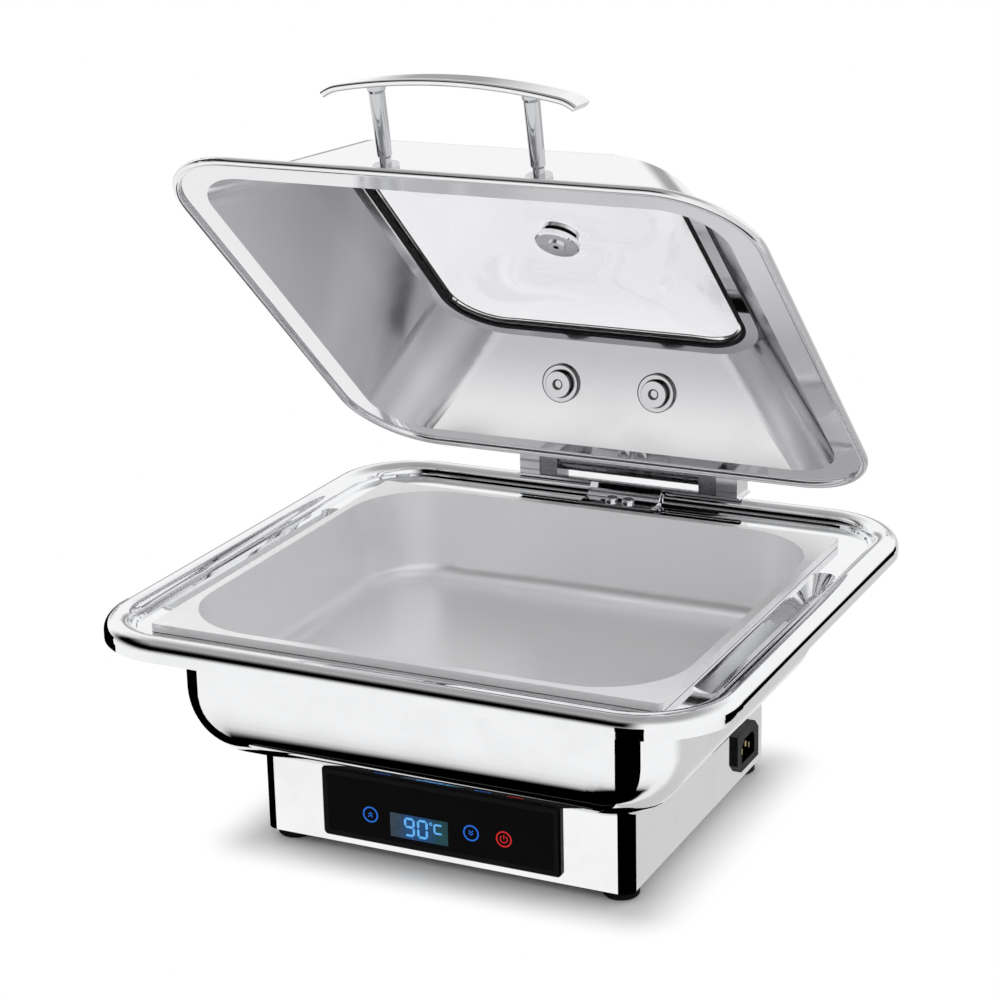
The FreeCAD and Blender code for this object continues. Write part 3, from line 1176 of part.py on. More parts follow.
def make_window():
    ring = new_body("window_ring")
    place(ring, LID)
    add(ring, "face", "XY", RING_FACE, f"{RING_FACE} + ring_wall",
        window_outline("ring_width"), window_outline("0"))
    add(ring, "collar", "XY", f"{RING_FACE} + ring_wall", LID_TOP_INSIDE,
        window_outline("ring_collar"), window_outline("0"))
    gasket = new_body("window_gasket")
    place(gasket, LID)
    low = f"({RING_FACE} + fit_gap)"
    high = f"({PANE_TOP} + contact_gap + gasket_lip)"
    outer = "-contact_gap"
    add(gasket, "upright", "XY", low, high,
        window_outline(outer), window_outline(f"{outer} - gasket_wall"))
    add(gasket, "lower_lip", "XY", low, f"{low} + gasket_lip",
        window_outline(f"{outer} - gasket_wall / 2"),
        window_outline(f"{outer} - gasket_wall - gasket_lip"))
    add(gasket, "upper_lip", "XY", f"{high} - gasket_lip", high,
        window_outline(f"{outer} - gasket_wall / 2"),
        window_outline(f"{outer} - gasket_wall - gasket_lip"))
    add(gasket, "outer_flange", "XY", "lid_height + contact_gap",
        "lid_height + contact_gap + gasket_cover",
        window_outline("gasket_flange"), window_outline(f"{outer} - gasket_wall / 2"))
    glass = new_body("window_glass")
    place(glass, LID)
    add(glass, "pane", "XY", PANE_LOW, PANE_TOP, rounded(PANE_WIDTH, PANE_DEPTH, PANE_CORNER))
    for name, kind, base in (("bulge", "Additive", PANE_TOP), ("hollow", "Subtractive", PANE_LOW)):
        loft(glass, name, kind, False,
             (base, f"{PANE_WIDTH} - 4 * gasket_lip", f"{PANE_DEPTH} - 4 * gasket_lip",
              f"{PANE_CORNER} - 2 * gasket_lip"),
             (f"{base} + 0.5 * pane_rise", f"0.8 * {PANE_WIDTH}", f"0.8 * {PANE_DEPTH}",
              f"1.15 * {PANE_CORNER}"),
             (f"{base} + 0.86 * pane_rise", f"0.5 * {PANE_WIDTH}", f"0.5 * {PANE_DEPTH}",
              f"1.1 * {PANE_CORNER}"),
             (f"{base} + pane_rise", "3 * vent_cap_radius", "3 * vent_cap_radius",
              "1.4 * vent_cap_radius"))
    cut(glass, "vent_hole", "XY", PANE_LOW, f"{PANE_TOP} + pane_rise",
        disc("vent_stem_radius + fit_gap"))


def make_steam_vent():
    inside, outside = f"({PANE_LOW} + pane_rise)", f"({PANE_TOP} + pane_rise)"
    body = new_body("vent_body")
    place(body, LID)
    seal_top = f"({outside} + contact_gap + vent_seal_wall)"
    turn(body, "body", [
        ("vent_hole_radius", f"{inside} - vent_seal_wall - vent_cap_height - vent_tail"),
        ("vent_stem_radius", f"{inside} - vent_seal_wall - vent_cap_height - vent_tail"),
        ("vent_stem_radius", seal_top), ("vent_head_radius", seal_top),
        ("vent_head_radius", f"{seal_top} + vent_head_height - vent_slope_height"),
        ("vent_head_radius - vent_slope", f"{seal_top} + vent_head_height"),
        ("vent_hole_radius", f"{seal_top} + vent_head_height")])
    disc_top = f"({inside} - contact_gap - vent_seal_wall)"
    nut = new_body("vent_disc")
    place(nut, LID)
    bore = "(vent_stem_radius + running_gap)"
    turn(nut, "disc", [
        (bore, disc_top), (bore, f"{disc_top} - vent_cap_height"),
        ("vent_cap_radius - vent_bevel", f"{disc_top} - vent_cap_height"),
        ("vent_cap_radius", f"{disc_top} - vent_cap_height + vent_bevel"),
        ("vent_cap_radius", disc_top)])
    seals = new_body("vent_seals")
    place(seals, LID)
    for name, low in (("inner", disc_top), ("outer", f"{outside} + contact_gap / 2")):
        add(seals, name, "XY", low, f"{low} + vent_seal_wall",
            disc("vent_head_radius - seal_inset"), disc("vent_stem_radius + contact_gap"))


# Handle

HANDLE = LID + " * " + wall_frame("-1", "handle_rise")
GRIP = HANDLE + " * " + frame_at("0", "0", "handle_post_length", "-handle_tilt")


GRIP_SEAT = "sqrt(handle_arc ^ 2 - handle_post_x ^ 2)"
GRIP_TURN = "asin((handle_half - handle_end) / handle_arc)"
END_X = f"((handle_arc - handle_end_arc) * sin({GRIP_TURN}))"
END_Z = f"((handle_arc - handle_end_arc) * cos({GRIP_TURN}) - {GRIP_SEAT})"
END_TURN = f"asin((handle_half - {END_X}) / handle_end_arc)"


def grip_joint(rise):
    """Where the grip's arch meets its end, at a height above the underside."""
    return (f"(handle_arc + {rise}) * sin({GRIP_TURN})",
            f"(handle_arc + {rise}) * cos({GRIP_TURN}) - {GRIP_SEAT}")


def grip_tip(rise):
    """The tip of the grip's end, at a height above the underside."""
    return (f"{END_X} + (handle_end_arc + {rise}) * sin({END_TURN})",
            f"{END_Z} + (handle_end_arc + {rise}) * cos({END_TURN})")


def grip_outline():
    """The grip seen from the front: an arched strip whose ends curve down."""
    low_x, low_z = grip_joint("0")
    high_x, high_z = grip_joint("handle_wall")
    tip_x, tip_z = grip_tip("0")
    edge_x, edge_z = grip_tip("handle_wall")
    arch, end = "handle_arc + handle_wall", "handle_end_arc + handle_wall"
    return trace([
        (tip_x, tip_z, "handle_end_arc", -1), (edge_x, edge_z), (high_x, high_z, end, 1),
        (f"-({high_x})", high_z, arch, 1), (f"-({edge_x})", edge_z, end, 1),
        (f"-({tip_x})", tip_z), (f"-({low_x})", low_z, "handle_end_arc", -1),
        (low_x, low_z, "handle_arc", -1)])


def grip_edge(bounds):
    """Picks the long edges of the grip."""
    return bounds.YLength < 0.01 and bounds.XLength > number("handle_wall")


def make_handle_bar():
    body = new_body("handle_bar")
    place(body, GRIP)
    add(body, "grip", "XZ", "-handle_width / 2", "handle_width / 2", grip_outline())
    fillet(body, "round_edges", "handle_round", grip_edge)
    return body


def make_handle():
    bar = make_handle_bar()
    collars = new_body("post_collars")
    place(collars, HANDLE)
    places = [f"{side} * handle_post_x" for side in (-1, 1)]
    add(collars, "collars", "XY", "contact_gap", "handle_collar",
        *[disc("handle_collar_radius", x) for x in places],
        *[disc("screw_radius + screw_gap", x) for x in places])
    for side, x in (("left", "-handle_post_x"), ("right", "handle_post_x")):
        blank = new_body(f"post_blank_{side}", keep=False)
        place(blank, HANDLE, frame_at(x))
        top = "(handle_post_length + handle_wall / 2)"
        turn(blank, "post", [
            ("0", "handle_collar"), ("handle_neck_radius", "handle_collar"),
            ("handle_neck_radius", "handle_neck"), ("handle_foot_radius", "handle_neck + neck_slope"),
            ("handle_post_radius", "handle_post_length - handle_head"),
            ("handle_head_radius", "handle_post_length - handle_head / 2"),
            ("handle_head_radius", top), ("0", top)])
        cut(blank, "thread", "XY", "handle_collar", "handle_thread", disc("screw_radius + running_gap"))
        post = doc.addObject("Part::Cut", f"handle_post_{side}")
        post.Base = blank
        post.Tool = bar
        pieces.append(post)
    screws = new_body("handle_screws")
    place(screws, HANDLE)
    add(screws, "shanks", "XY", "-lid_wall", "handle_screw_length",
        *[disc("screw_radius", x) for x in places])
    add(screws, "heads", "XY", "-lid_wall - screw_head", "-lid_wall - contact_gap",
        *[disc("screw_head_radius", x) for x in places])
    add(screws, "necks", "XY", "-lid_wall - contact_gap", "-lid_wall",
        *[disc("screw_radius", x) for x in places])


# Hinge

def knuckle_outline(less):
    """The side of a knuckle block, smaller all round except below."""
    front = f"{AXIS_Y} + knuckle_back - knuckle_depth + {less}"
    back = f"{AXIS_Y} + knuckle_back - {less}"
    top = f"{AXIS_Z} + knuckle_top - {less}"
    return trace([
        (front, STRIP_TOP), (back, STRIP_TOP), (back, f"{top} - knuckle_round"),
        (f"{back} - knuckle_round", top, "knuckle_round", 1), (f"{front} + knuckle_round", top),
        (front, f"{top} - knuckle_round", "knuckle_round", 1)])


def make_hinge_plate():
    body = new_body("hinge_plate")
    front = f"{FOOT_BACK} - hinge_foot_depth"
    crest = f"({BEAD_BACK} - arm_place)"
    wall = "hinge_foot_wall"
    add(body, "foot", "YZ", "-hinge_foot_half", "hinge_foot_half", trace([
        (front, LEDGE), (FOOT_BACK, LEDGE), (crest, STRIP_LOW),
        (f"{crest} + arm_width", STRIP_LOW), (f"{crest} + arm_width", STRIP_TOP),
        (f"{crest} - arm_wall_top", STRIP_TOP), (f"{FOOT_BACK} - arm_wall_foot", f"{LEDGE} + {wall}"),
        (front, f"{LEDGE} + {wall}")]))
    back = f"({AXIS_Y} + knuckle_back)"
    add(body, "strip", "XY", STRIP_LOW, STRIP_TOP,
        box("-hinge_strip_half", "hinge_strip_half", f"{back} - hinge_strip_depth", back))
    cut(body, "bolt_holes", "XY", LEDGE, f"{LEDGE} + {wall}",
        *[disc("stud_radius + screw_gap", x, y) for x, y in HINGE_BOLTS])
    bolts = new_body("hinge_plate_bolts")
    add(bolts, "shanks", "XY", f"{LEDGE} - pan_wall - stud_nut - hinge_bolt_tail", f"{LEDGE} + {wall}",
        *[disc("stud_radius", x, y) for x, y in HINGE_BOLTS])
    head_top = f"{LEDGE} + {wall} + hinge_bolt_dome"
    add(bolts, "heads", "XY", f"{LEDGE} + {wall}", head_top,
        *[disc("hinge_bolt_head", x, y) for x, y in HINGE_BOLTS])
    fillet(bolts, "domes", "hinge_bolt_round", at_height(head_top))
    nuts = new_body("hinge_plate_nuts")
    top = f"{LEDGE} - pan_wall"
    add(nuts, "nuts", "XY", f"{top} - stud_nut", top,
        *[hexagon("stud_nut_flats", x, y) for x, y in HINGE_BOLTS],
        *[disc("stud_radius + running_gap", x, y) for x, y in HINGE_BOLTS])


def make_hinge_blocks():
    for side, sign in (("left", -1), ("right", 1)):
        spans = (("hinge_bushing", "knuckle_inner", "knuckle_joint", "0.8"),
                 ("hinge_knuckle", "knuckle_joint", "knuckle_outer", "0"))
        for name, near, far, less in spans:
            start, stop = (near, far) if sign == 1 else (f"-{far}", f"-{near}")
            body = new_body(f"{name}_{side}")
            add(body, "block", "YZ", start, stop, knuckle_outline(less))
            bore_start, bore_stop = start, stop
            if name == "hinge_knuckle" and sign == 1:
                bore_stop = "shaft_half + fit_gap"
            if name == "hinge_knuckle" and sign == -1:
                bore_start = "-shaft_half - fit_gap"
            cut(body, "shaft_bore", "YZ", bore_start, bore_stop,
                disc("shaft_radius + running_gap", AXIS_Y, AXIS_Z))


def make_hinge_shaft():
    shaft = new_body("hinge_shaft")
    add(shaft, "shaft", "YZ", "-shaft_half", "shaft_half", disc("shaft_radius", AXIS_Y, AXIS_Z))
    damper = new_body("damper_barrel")
    y, z = f"{AXIS_Y} - damper_inset", f"{AXIS_Z} - damper_drop"
    add(damper, "barrel", "YZ", "-knuckle_inner", "knuckle_inner", disc("damper_radius", y, z))
    cut(damper, "joint_line", "YZ", "damper_joint", "damper_joint + 1",
        disc("damper_radius", y, z), disc("damper_radius - 0.6", y, z))


def wall_y(rise):
    """The outside of the lid's back wall, in the lid's frame."""
    return f"({DOME_DEPTH} / 2 - ({rise}) * {DOME_RUN} / lid_height)"


def make_lid_bracket():
    body = new_body("lid_bracket")
    place(body, LID)
    add(body, "sleeve", "YZ", "-sleeve_half", "sleeve_half",
        disc("sleeve_radius", AXIS_V, "axis_above"))
    strip_low = "axis_above - sleeve_radius"
    strip_top = f"{strip_low} + bracket_wall"
    out_y = f"bracket_wall * sin({WALL_ANGLE})"
    out_z = f"bracket_wall * cos({WALL_ANGLE})"
    add(body, "strip", "YZ", "-bracket_half", "bracket_half", trace([
        (f"{wall_y(strip_low)} + bracket_root", strip_low), (AXIS_V, strip_low), (AXIS_V, strip_top),
        (f"{wall_y(strip_top)} + bracket_root", strip_top)]))
    add(body, "wall_plate", "YZ", "-bracket_half", "bracket_half", trace([
        (f"{wall_y('bracket_low')} + contact_gap", "bracket_low"),
        (f"{wall_y('bracket_low')} + {out_y}", f"bracket_low + {out_z}"),
        (f"{wall_y('bracket_high')} + {out_y}", f"bracket_high + {out_z}"),
        (f"{wall_y('bracket_high')} + contact_gap", "bracket_high")]))
    cut(body, "shaft_bore", "YZ", "-sleeve_half", "sleeve_half",
        disc("shaft_radius + running_gap", AXIS_V, "axis_above"))
    places = [f"{side} * bracket_bolt_x" for side in (-1, 1)]
    drill = sketch_on(body, "bolt_holes_sketch")
    drill.setExpression("AttachmentOffset.Base.z", None)
    drill.setExpression("AttachmentOffset", bound(
        wall_frame("1", "bracket_bolt_rise") + " * " + frame_at("0", "0", "bracket_wall + screw_gap")))
    for x in places:
        disc("bracket_bolt_radius + screw_gap", x)(drill)
    pocket(body, "bolt_holes", drill, "bracket_wall + 2 * screw_gap")
    on_wall = LID + " * " + wall_frame("1", "bracket_bolt_rise")
    bolts = new_body("bracket_bolts")
    place(bolts, on_wall)
    add(bolts, "shanks", "XY", "-lid_wall - round_nut + bracket_tail", "bracket_wall",
        *[disc("bracket_bolt_radius", x) for x in places])
    head_top = "bracket_wall + bracket_head"
    add(bolts, "heads", "XY", "bracket_wall", head_top,
        *[disc("bracket_head_radius", x) for x in places])
    fillet(bolts, "domes", "bracket_head / 2", at_height(head_top))
    nuts = new_body("bracket_round_nuts")
    place(nuts, on_wall)
    top = "-lid_wall - contact_gap"
    bores = [disc("bracket_bolt_radius + running_gap", x) for x in places]
    add(nuts, "flanges", "XY", f"{top} - round_nut_flange", top,
        *[disc("round_nut_radius", x) for x in places], *bores)
    add(nuts, "hubs", "XY", f"{top} - round_nut", f"{top} - round_nut_flange",
        *[disc("round_nut_hub", x) for x in places], *bores)


def check():
    """Stops on any failed object, cut that removes nothing, or shape that isn't sound."""
    for thing in doc.Objects:
        if "Invalid" in thing.State or "Error" in thing.State:
            raise RuntimeError(f"{thing.Label} of {thing.getParentGroup()} failed")
        if thing.TypeId in ("PartDesign::Pocket", "PartDesign::SubtractiveLoft"):
            if thing.Shape.Volume > thing.BaseFeature.Shape.Volume - 0.01:
                raise RuntimeError(f"{thing.Label} cuts nothing")
    for piece in pieces:
        if piece.Shape.isNull() or not piece.Shape.isValid():
            raise RuntimeError(f"{piece.Label} has no sound shape")


make_base_housing()
make_bottom_cover()
make_feet()
make_foot_fasteners()
make_panel_frame()
make_touch_glass()
make_panel_electronics()
make_power_inlet()
make_heating_plate()
make_heating_element()
make_heater_clamping()
make_heat_shield()
make_heater_sensors()
make_water_pan()
make_rim_skirt()
make_food_pan()
make_lid_shell()
make_window()
make_steam_vent()
make_handle()
make_hinge_plate()
make_hinge_blocks()
make_hinge_shaft()
make_lid_bracket()
doc.recompute()
check()
os.makedirs("parts", exist_ok=True)
for piece in pieces:
    piece.Shape.exportStep(os.path.join("parts", piece.Label + ".step"))
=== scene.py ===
import math

import bmesh
import bpy
from mathutils import Matrix, Vector


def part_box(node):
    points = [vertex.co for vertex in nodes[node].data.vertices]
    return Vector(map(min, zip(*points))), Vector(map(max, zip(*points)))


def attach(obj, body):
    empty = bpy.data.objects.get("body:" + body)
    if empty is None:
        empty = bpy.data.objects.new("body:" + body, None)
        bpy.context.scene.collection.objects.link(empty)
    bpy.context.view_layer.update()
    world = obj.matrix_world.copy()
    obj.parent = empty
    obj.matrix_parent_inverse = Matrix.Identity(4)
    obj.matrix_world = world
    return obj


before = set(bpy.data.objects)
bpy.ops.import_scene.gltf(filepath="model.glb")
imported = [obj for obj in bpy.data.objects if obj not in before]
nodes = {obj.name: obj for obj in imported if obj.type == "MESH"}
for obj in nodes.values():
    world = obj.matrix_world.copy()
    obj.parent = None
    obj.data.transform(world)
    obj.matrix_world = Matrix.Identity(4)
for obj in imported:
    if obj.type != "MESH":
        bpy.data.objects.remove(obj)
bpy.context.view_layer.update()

scene = bpy.context.scene


# Places, in metres

def low(node):
    """The left, front and bottom of a node's box."""
    return Vector(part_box(node)[0])


def high(node):
    """The right, back and top of a node's box."""
    return Vector(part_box(node)[1])


# Materials

def scaled(tint, share):
    """A colour made darker or paler."""
    return tuple(share * channel for channel in tint)


class Tree:
    """Shorthand for building a node tree."""

    def __init__(self, tree):
        self.tree = tree

    def node(self, kind, **settings):
        """A node, with its inputs given by number (i0=...) and its properties by name."""
        made = self.tree.nodes.new(kind)
        for key, value in settings.items():
            if key[0] == "i" and key[1:].isdigit():
                socket = made.inputs[int(key[1:])]
                if isinstance(value, bpy.types.NodeSocket):
                    self.tree.links.new(value, socket)
                else:
                    socket.default_value = value
            else:
                setattr(made, key, value)
        return made

    def math(self, operation, *values):
        """A Math node's result, from numbers or sockets."""
        made = self.node("ShaderNodeMath", operation=operation)
        for socket, value in zip(made.inputs, values):
            if isinstance(value, bpy.types.NodeSocket):
                self.tree.links.new(value, socket)
            else:
                socket.default_value = value
        return made.outputs[0]

    def parts(self, vector):
        """The x, y and z of a vector."""
        return self.node("ShaderNodeSeparateXYZ", i0=vector).outputs

    def leaning(self, y, z, lean):
        """How far a y and a z reach along an upright direction, given as its own y and z."""
        return self.math("ADD", self.math("MULTIPLY", y, lean[0]), self.math("MULTIPLY", z, lean[1]))

    def camera_ray(self):
        """1 for rays straight from the camera."""
        return self.node("ShaderNodeLightPath").outputs["Is Camera Ray"]

    def mirrored_ray(self):
        """1 for rays that a surface reflects, and 0 for the rest."""
        path = self.node("ShaderNodeLightPath")
        away = self.math("SUBTRACT", 1, path.outputs["Is Transmission Ray"])
        return self.math("MULTIPLY", path.outputs["Is Glossy Ray"], away)

    def span(self, value, start, stop, to_start, to_stop, smooth=True):
        """Maps a value from one range to another, held at the ends."""
        made = self.node("ShaderNodeMapRange")
        made.interpolation_type = "SMOOTHSTEP" if smooth else "LINEAR"
        self.tree.links.new(value, made.inputs["Value"])
        for name, number in (("From Min", start), ("From Max", stop),
                             ("To Min", to_start), ("To Max", to_stop)):
            made.inputs[name].default_value = number
        return made.outputs[0]

    def mix(self, share, first, second):
        """A blend of two colours."""
        made = self.node("ShaderNodeMix", data_type="RGBA")
        sockets = [socket for socket in made.inputs if socket.type == "RGBA"]
        factor = made.inputs[0]
        for socket, value in ((factor, share), (sockets[0], first), (sockets[1], second)):
            if isinstance(value, bpy.types.NodeSocket):
                self.tree.links.new(value, socket)
            elif socket.type == "RGBA":
                socket.default_value = (*value, 1)
            else:
                socket.default_value = value
        return [socket for socket in made.outputs if socket.type == "RGBA"][0]

    def band(self, value, centre, half, soft):
        """1 within a band of values, falling to 0 beyond its soft edges."""
        away = self.math("ABSOLUTE", self.math("SUBTRACT", value, centre))
        return self.span(away, half - soft, half + soft, 1, 0)

    def ramp(self, value, stops):
        """Follows (value, share) stops with straight lines between them, for values from -1 to 1."""
        made = self.node("ShaderNodeValToRGB", i0=self.span(value, -1, 1, 0, 1, smooth=False))
        points = made.color_ramp.elements
        while len(points) < len(stops):
            points.new(0.5)
        for point, (place, share) in zip(points, stops):
            point.position = (place + 1) / 2
            point.color = (share, share, share, 1)
        return made.outputs[0]

    def within(self, azimuth, start, stop, soft):
        """1 between two azimuths in degrees, with edges that are soft by some degrees each way."""
        centre = math.radians((start + stop) / 2)
        turned = self.math("SUBTRACT", azimuth, centre)
        turned = self.math("ABSOLUTE", self.math("WRAP", turned, math.pi, -math.pi))
        half = math.radians((stop - start) / 2)
        edge = math.radians(soft)
        return self.span(turned, half - edge, half + edge, 1, 0)


class Shader(Tree):
    """A material made of nodes round one Principled shader."""

    def __init__(self, name, color, metallic, roughness=0.5, **sockets):
        self.material = bpy.data.materials.new(name)
        self.material.use_nodes = True
        super().__init__(self.material.node_tree)
        self.surface = self.tree.nodes["Principled BSDF"]
        self.surface.inputs["Base Color"].default_value = (*color, 1)
        self.surface.inputs["Metallic"].default_value = metallic
        self.surface.inputs["Roughness"].default_value = roughness
        for socket, value in sockets.items():
            self.surface.inputs[socket.replace("_", " ")].default_value = value
        self.place = self.node("ShaderNodeTexCoord").outputs["Object"]

    def stretched(self, x, y, z):
        """Object coordinates scaled each way."""
        made = self.node("ShaderNodeMapping", i0=self.place)
        made.inputs["Scale"].default_value = (x, y, z)
        return made.outputs[0]

    def noise(self, scale, where=None, detail=2.0, rough=0.5):
        """Noise at a scale, over the piece or over stretched coordinates."""
        made = self.node("ShaderNodeTexNoise")
        made.inputs["Scale"].default_value = scale
        made.inputs["Detail"].default_value = detail
        made.inputs["Roughness"].default_value = rough
        self.tree.links.new(self.place if where is None else where, made.inputs["Vector"])
        return made.outputs[0]

    def set(self, socket, output):
        """Links an output to one of the shader's sockets."""
        self.tree.links.new(output, self.surface.inputs[socket])

    def own_normal(self):
        """The x, y and z of the surface's direction, in the piece's own axes."""
        facing = self.node("ShaderNodeNewGeometry").outputs["Normal"]
        turned = self.node("ShaderNodeVectorTransform", vector_type="NORMAL", convert_from="WORLD",
                           convert_to="OBJECT", i0=facing)
        return self.parts(turned.outputs[0])

    def bump(self, *layers):
        """Bumps from (height, distance in metres, strength), one on the other."""
        normal = None
        for height, distance, strength in layers:
            made = self.node("ShaderNodeBump")
            made.inputs["Strength"].default_value = strength
            made.inputs["Distance"].default_value = distance
            self.tree.links.new(height, made.inputs["Height"])
            if normal is not None:
                self.tree.links.new(normal, made.inputs["Normal"])
            normal = made.outputs[0]
        self.tree.links.new(normal, self.surface.inputs["Normal"])


def chrome(name, tint=(0.9, 0.905, 0.915), rough=0.035, smudge=0.05, wave=1.0):
    """Polished stainless steel: faint smudges, hairline scratches and the sheet's waviness."""
    made = Shader(name, tint, 1.0)
    smudges = made.noise(28, detail=5, rough=0.62)
    hair = made.noise(900, made.stretched(1, 0.03, 0.4), detail=1)
    dirt = made.span(smudges, 0.45, 0.75, 0, smudge)
    made.set("Roughness", made.math("ADD", dirt, rough))
    made.set("Base Color", made.mix(made.span(smudges, 0.4, 0.8, 0, 1), tint, scaled(tint, 0.94)))
    made.bump((made.noise(9, detail=0), 0.0006 * wave, 1.0), (hair, 0.000004, 0.5))
    return made.material


def brushed(name, tint, rough, direction, depth=0.00003):
    """Steel with a grain along one axis."""
    made = Shader(name, tint, 1.0, Anisotropic=0.6)
    grain = made.noise(420, made.stretched(*direction), detail=3, rough=0.7)
    broad = made.noise(14, detail=3)
    spread = made.span(grain, 0.3, 0.7, rough - 0.06, rough + 0.07)
    made.set("Roughness", made.math("ADD", spread, made.span(broad, 0.35, 0.7, 0, 0.06)))
    made.set("Base Color", made.mix(grain, tint, scaled(tint, 0.9)))
    made.bump((grain, depth, 0.6))
    return made.material


def satin(name, tint, rough):
    """Smooth drawn steel with a fine even matt finish and faint draw marks."""
    made = Shader(name, tint, 0.5)
    marks = made.noise(300, made.stretched(0.08, 1, 0.4), detail=2, rough=0.6)
    broad = made.noise(11, detail=4)
    spread = made.span(marks, 0.3, 0.7, rough - 0.02, rough + 0.02)
    made.set("Roughness", made.math("ADD", spread, made.span(broad, 0.4, 0.75, 0, 0.05)))
    made.set("Base Color", made.mix(broad, tint, scaled(tint, 0.96)))
    made.bump((marks, 0.000003, 0.5))
    return made.material


def plated(name, tint, rough=0.3):
    """Zinc-plated or plain turned metal, with a mottled finish."""
    made = Shader(name, tint, 1.0)
    patches = made.noise(160, detail=4)
    made.set("Roughness", made.span(patches, 0.3, 0.7, rough - 0.08, rough + 0.12))
    made.set("Base Color", made.mix(patches, tint, scaled(tint, 0.82)))
    made.bump((made.noise(1500, detail=2), 0.00001, 0.4))
    return made.material


def moulded(name, tint, rough=0.45, grain=0.00004, scale=2200):
    """Moulded plastic or rubber with a fine grain and worn, paler places."""
    made = Shader(name, tint, 0.0, Specular_IOR_Level=0.07)
    broad = made.noise(45, detail=4)
    made.set("Roughness", made.span(broad, 0.3, 0.7, rough - 0.05, rough + 0.1))
    paler = tuple(min(1, 1.3 * channel + 0.001) for channel in tint)
    made.set("Base Color", made.mix(made.span(broad, 0.4, 0.8, 0, 1), tint, paler))
    made.bump((made.noise(scale, detail=2), grain, 0.5))
    return made.material


def glossy_black(name, tint, rough=0.04):
    """Printed glass: deep black below a clear gloss, with a faint film of fingerprints."""
    made = Shader(name, tint, 0.0, Specular_IOR_Level=0.04)
    film = made.noise(60, detail=5, rough=0.65)
    made.set("Roughness", made.span(film, 0.45, 0.8, rough, rough + 0.12))
    made.set("Base Color", made.mix(made.span(film, 0.5, 0.9, 0, 1), tint,
                                    tuple(channel + 0.001 for channel in tint)))
    return made.material


def clear_glass(name, tint):
    """Clear tempered glass with slight waves and a faint film."""
    made = Shader(name, tint, 0.0, Transmission_Weight=1.0, IOR=1.5)
    film = made.noise(24, detail=4)
    made.set("Roughness", made.span(film, 0.5, 0.9, 0.0, 0.05))
    made.bump((made.noise(12, detail=0), 0.0002, 1.0))
    return made.material


def glowing(name, tint, strength):
    """A lit mark."""
    made = Shader(name, scaled(tint, 0.1), 0.0, 0.4, Specular_IOR_Level=0.1)
    uneven = made.noise(700, detail=1)
    made.surface.inputs["Emission Color"].default_value = (*tint, 1)
    made.set("Emission Strength", made.span(uneven, 0.2, 0.8, 0.85 * strength, 1.1 * strength))
    return made.material


def lit_screen(name):
    """The display's window: slate at its left, blue round the digits and teal at its right."""
    made = Shader(name, (0.004, 0.006, 0.008), 0.0, 0.08, Specular_IOR_Level=0.1)
    x = made.parts(made.place)[0]
    right = made.span(x, -0.030, -0.002, 0, 1)
    shade = made.mix(right, (0.030, 0.048, 0.070), (0.010, 0.050, 0.058))
    glow = made.band(x, -0.0155, 0.011, 0.006)
    made.set("Emission Color", made.mix(glow, shade, (0.010, 0.055, 0.160)))
    made.set("Emission Strength", made.span(made.noise(260, detail=2), 0.3, 0.7, 0.85, 1.15))
    return made.material


def ceramic(name, tint):
    """Glazed ceramic with fine specks."""
    made = Shader(name, tint, 0.0, 0.25, Coat_Weight=0.6)
    specks = made.noise(500, detail=3)
    made.set("Base Color", made.mix(made.span(specks, 0.55, 0.75, 0, 1), tint, scaled(tint, 0.8)))
    made.bump((specks, 0.00002, 0.4))
    return made.material


def board(name, tint, track_tint):
    """A circuit board: green mask over copper tracks."""
    made = Shader(name, tint, 0.0, 0.3, Coat_Weight=0.5)
    bricks = made.node("ShaderNodeTexBrick", i0=made.place)
    bricks.inputs["Scale"].default_value = 90
    tracks = bricks.outputs["Fac"]
    made.set("Base Color", made.mix(tracks, tint, track_tint))
    made.bump((tracks, 0.00003, 0.5))
    return made.material


def lid_steel(name, tint, shaded_inner_tint):
    """Polished outside, and inside a satin finish, with painted shade that darkens it towards the window
    and on the sides.
    """
    made = Shader(name, tint, 1.0)
    smudges = made.noise(24, detail=5, rough=0.6)
    normal = made.own_normal()
    _, y, z = made.parts(made.place)
    lean = (math.sin(LID_TILT), math.cos(LID_TILT))
    outward = made.leaning(normal[1], normal[2], lean)
    back, above = made.math("SUBTRACT", y, LID_BACK[0]), made.math("SUBTRACT", z, LID_BACK[1])
    height = made.leaning(back, above, lean)
    inside = made.span(outward, -0.12, -0.02, 1, 0)
    wall = made.math("MULTIPLY", inside, made.span(outward, -0.95, -0.8, 0, 1))
    # Painted shade on the inner walls, deeper towards the window and on the side walls
    upper = made.span(height, 0.012, 0.058, 0.0, 1.0)
    side = made.span(made.math("ABSOLUTE", normal[0]), 0.3, 0.8, 0, 0.75)
    painted_wall_shade = made.math("MULTIPLY", wall, made.math("MAXIMUM", upper, side))
    made.set("Base Color", made.mix(painted_wall_shade, tint, shaded_inner_tint))
    rough = made.math("ADD", made.span(wall, 0, 1, 0.06, 0.15), made.span(smudges, 0.45, 0.75, 0, 0.06))
    made.set("Roughness", rough)
    made.bump((made.noise(9, detail=0), 0.0012, 1.0))
    return made.material


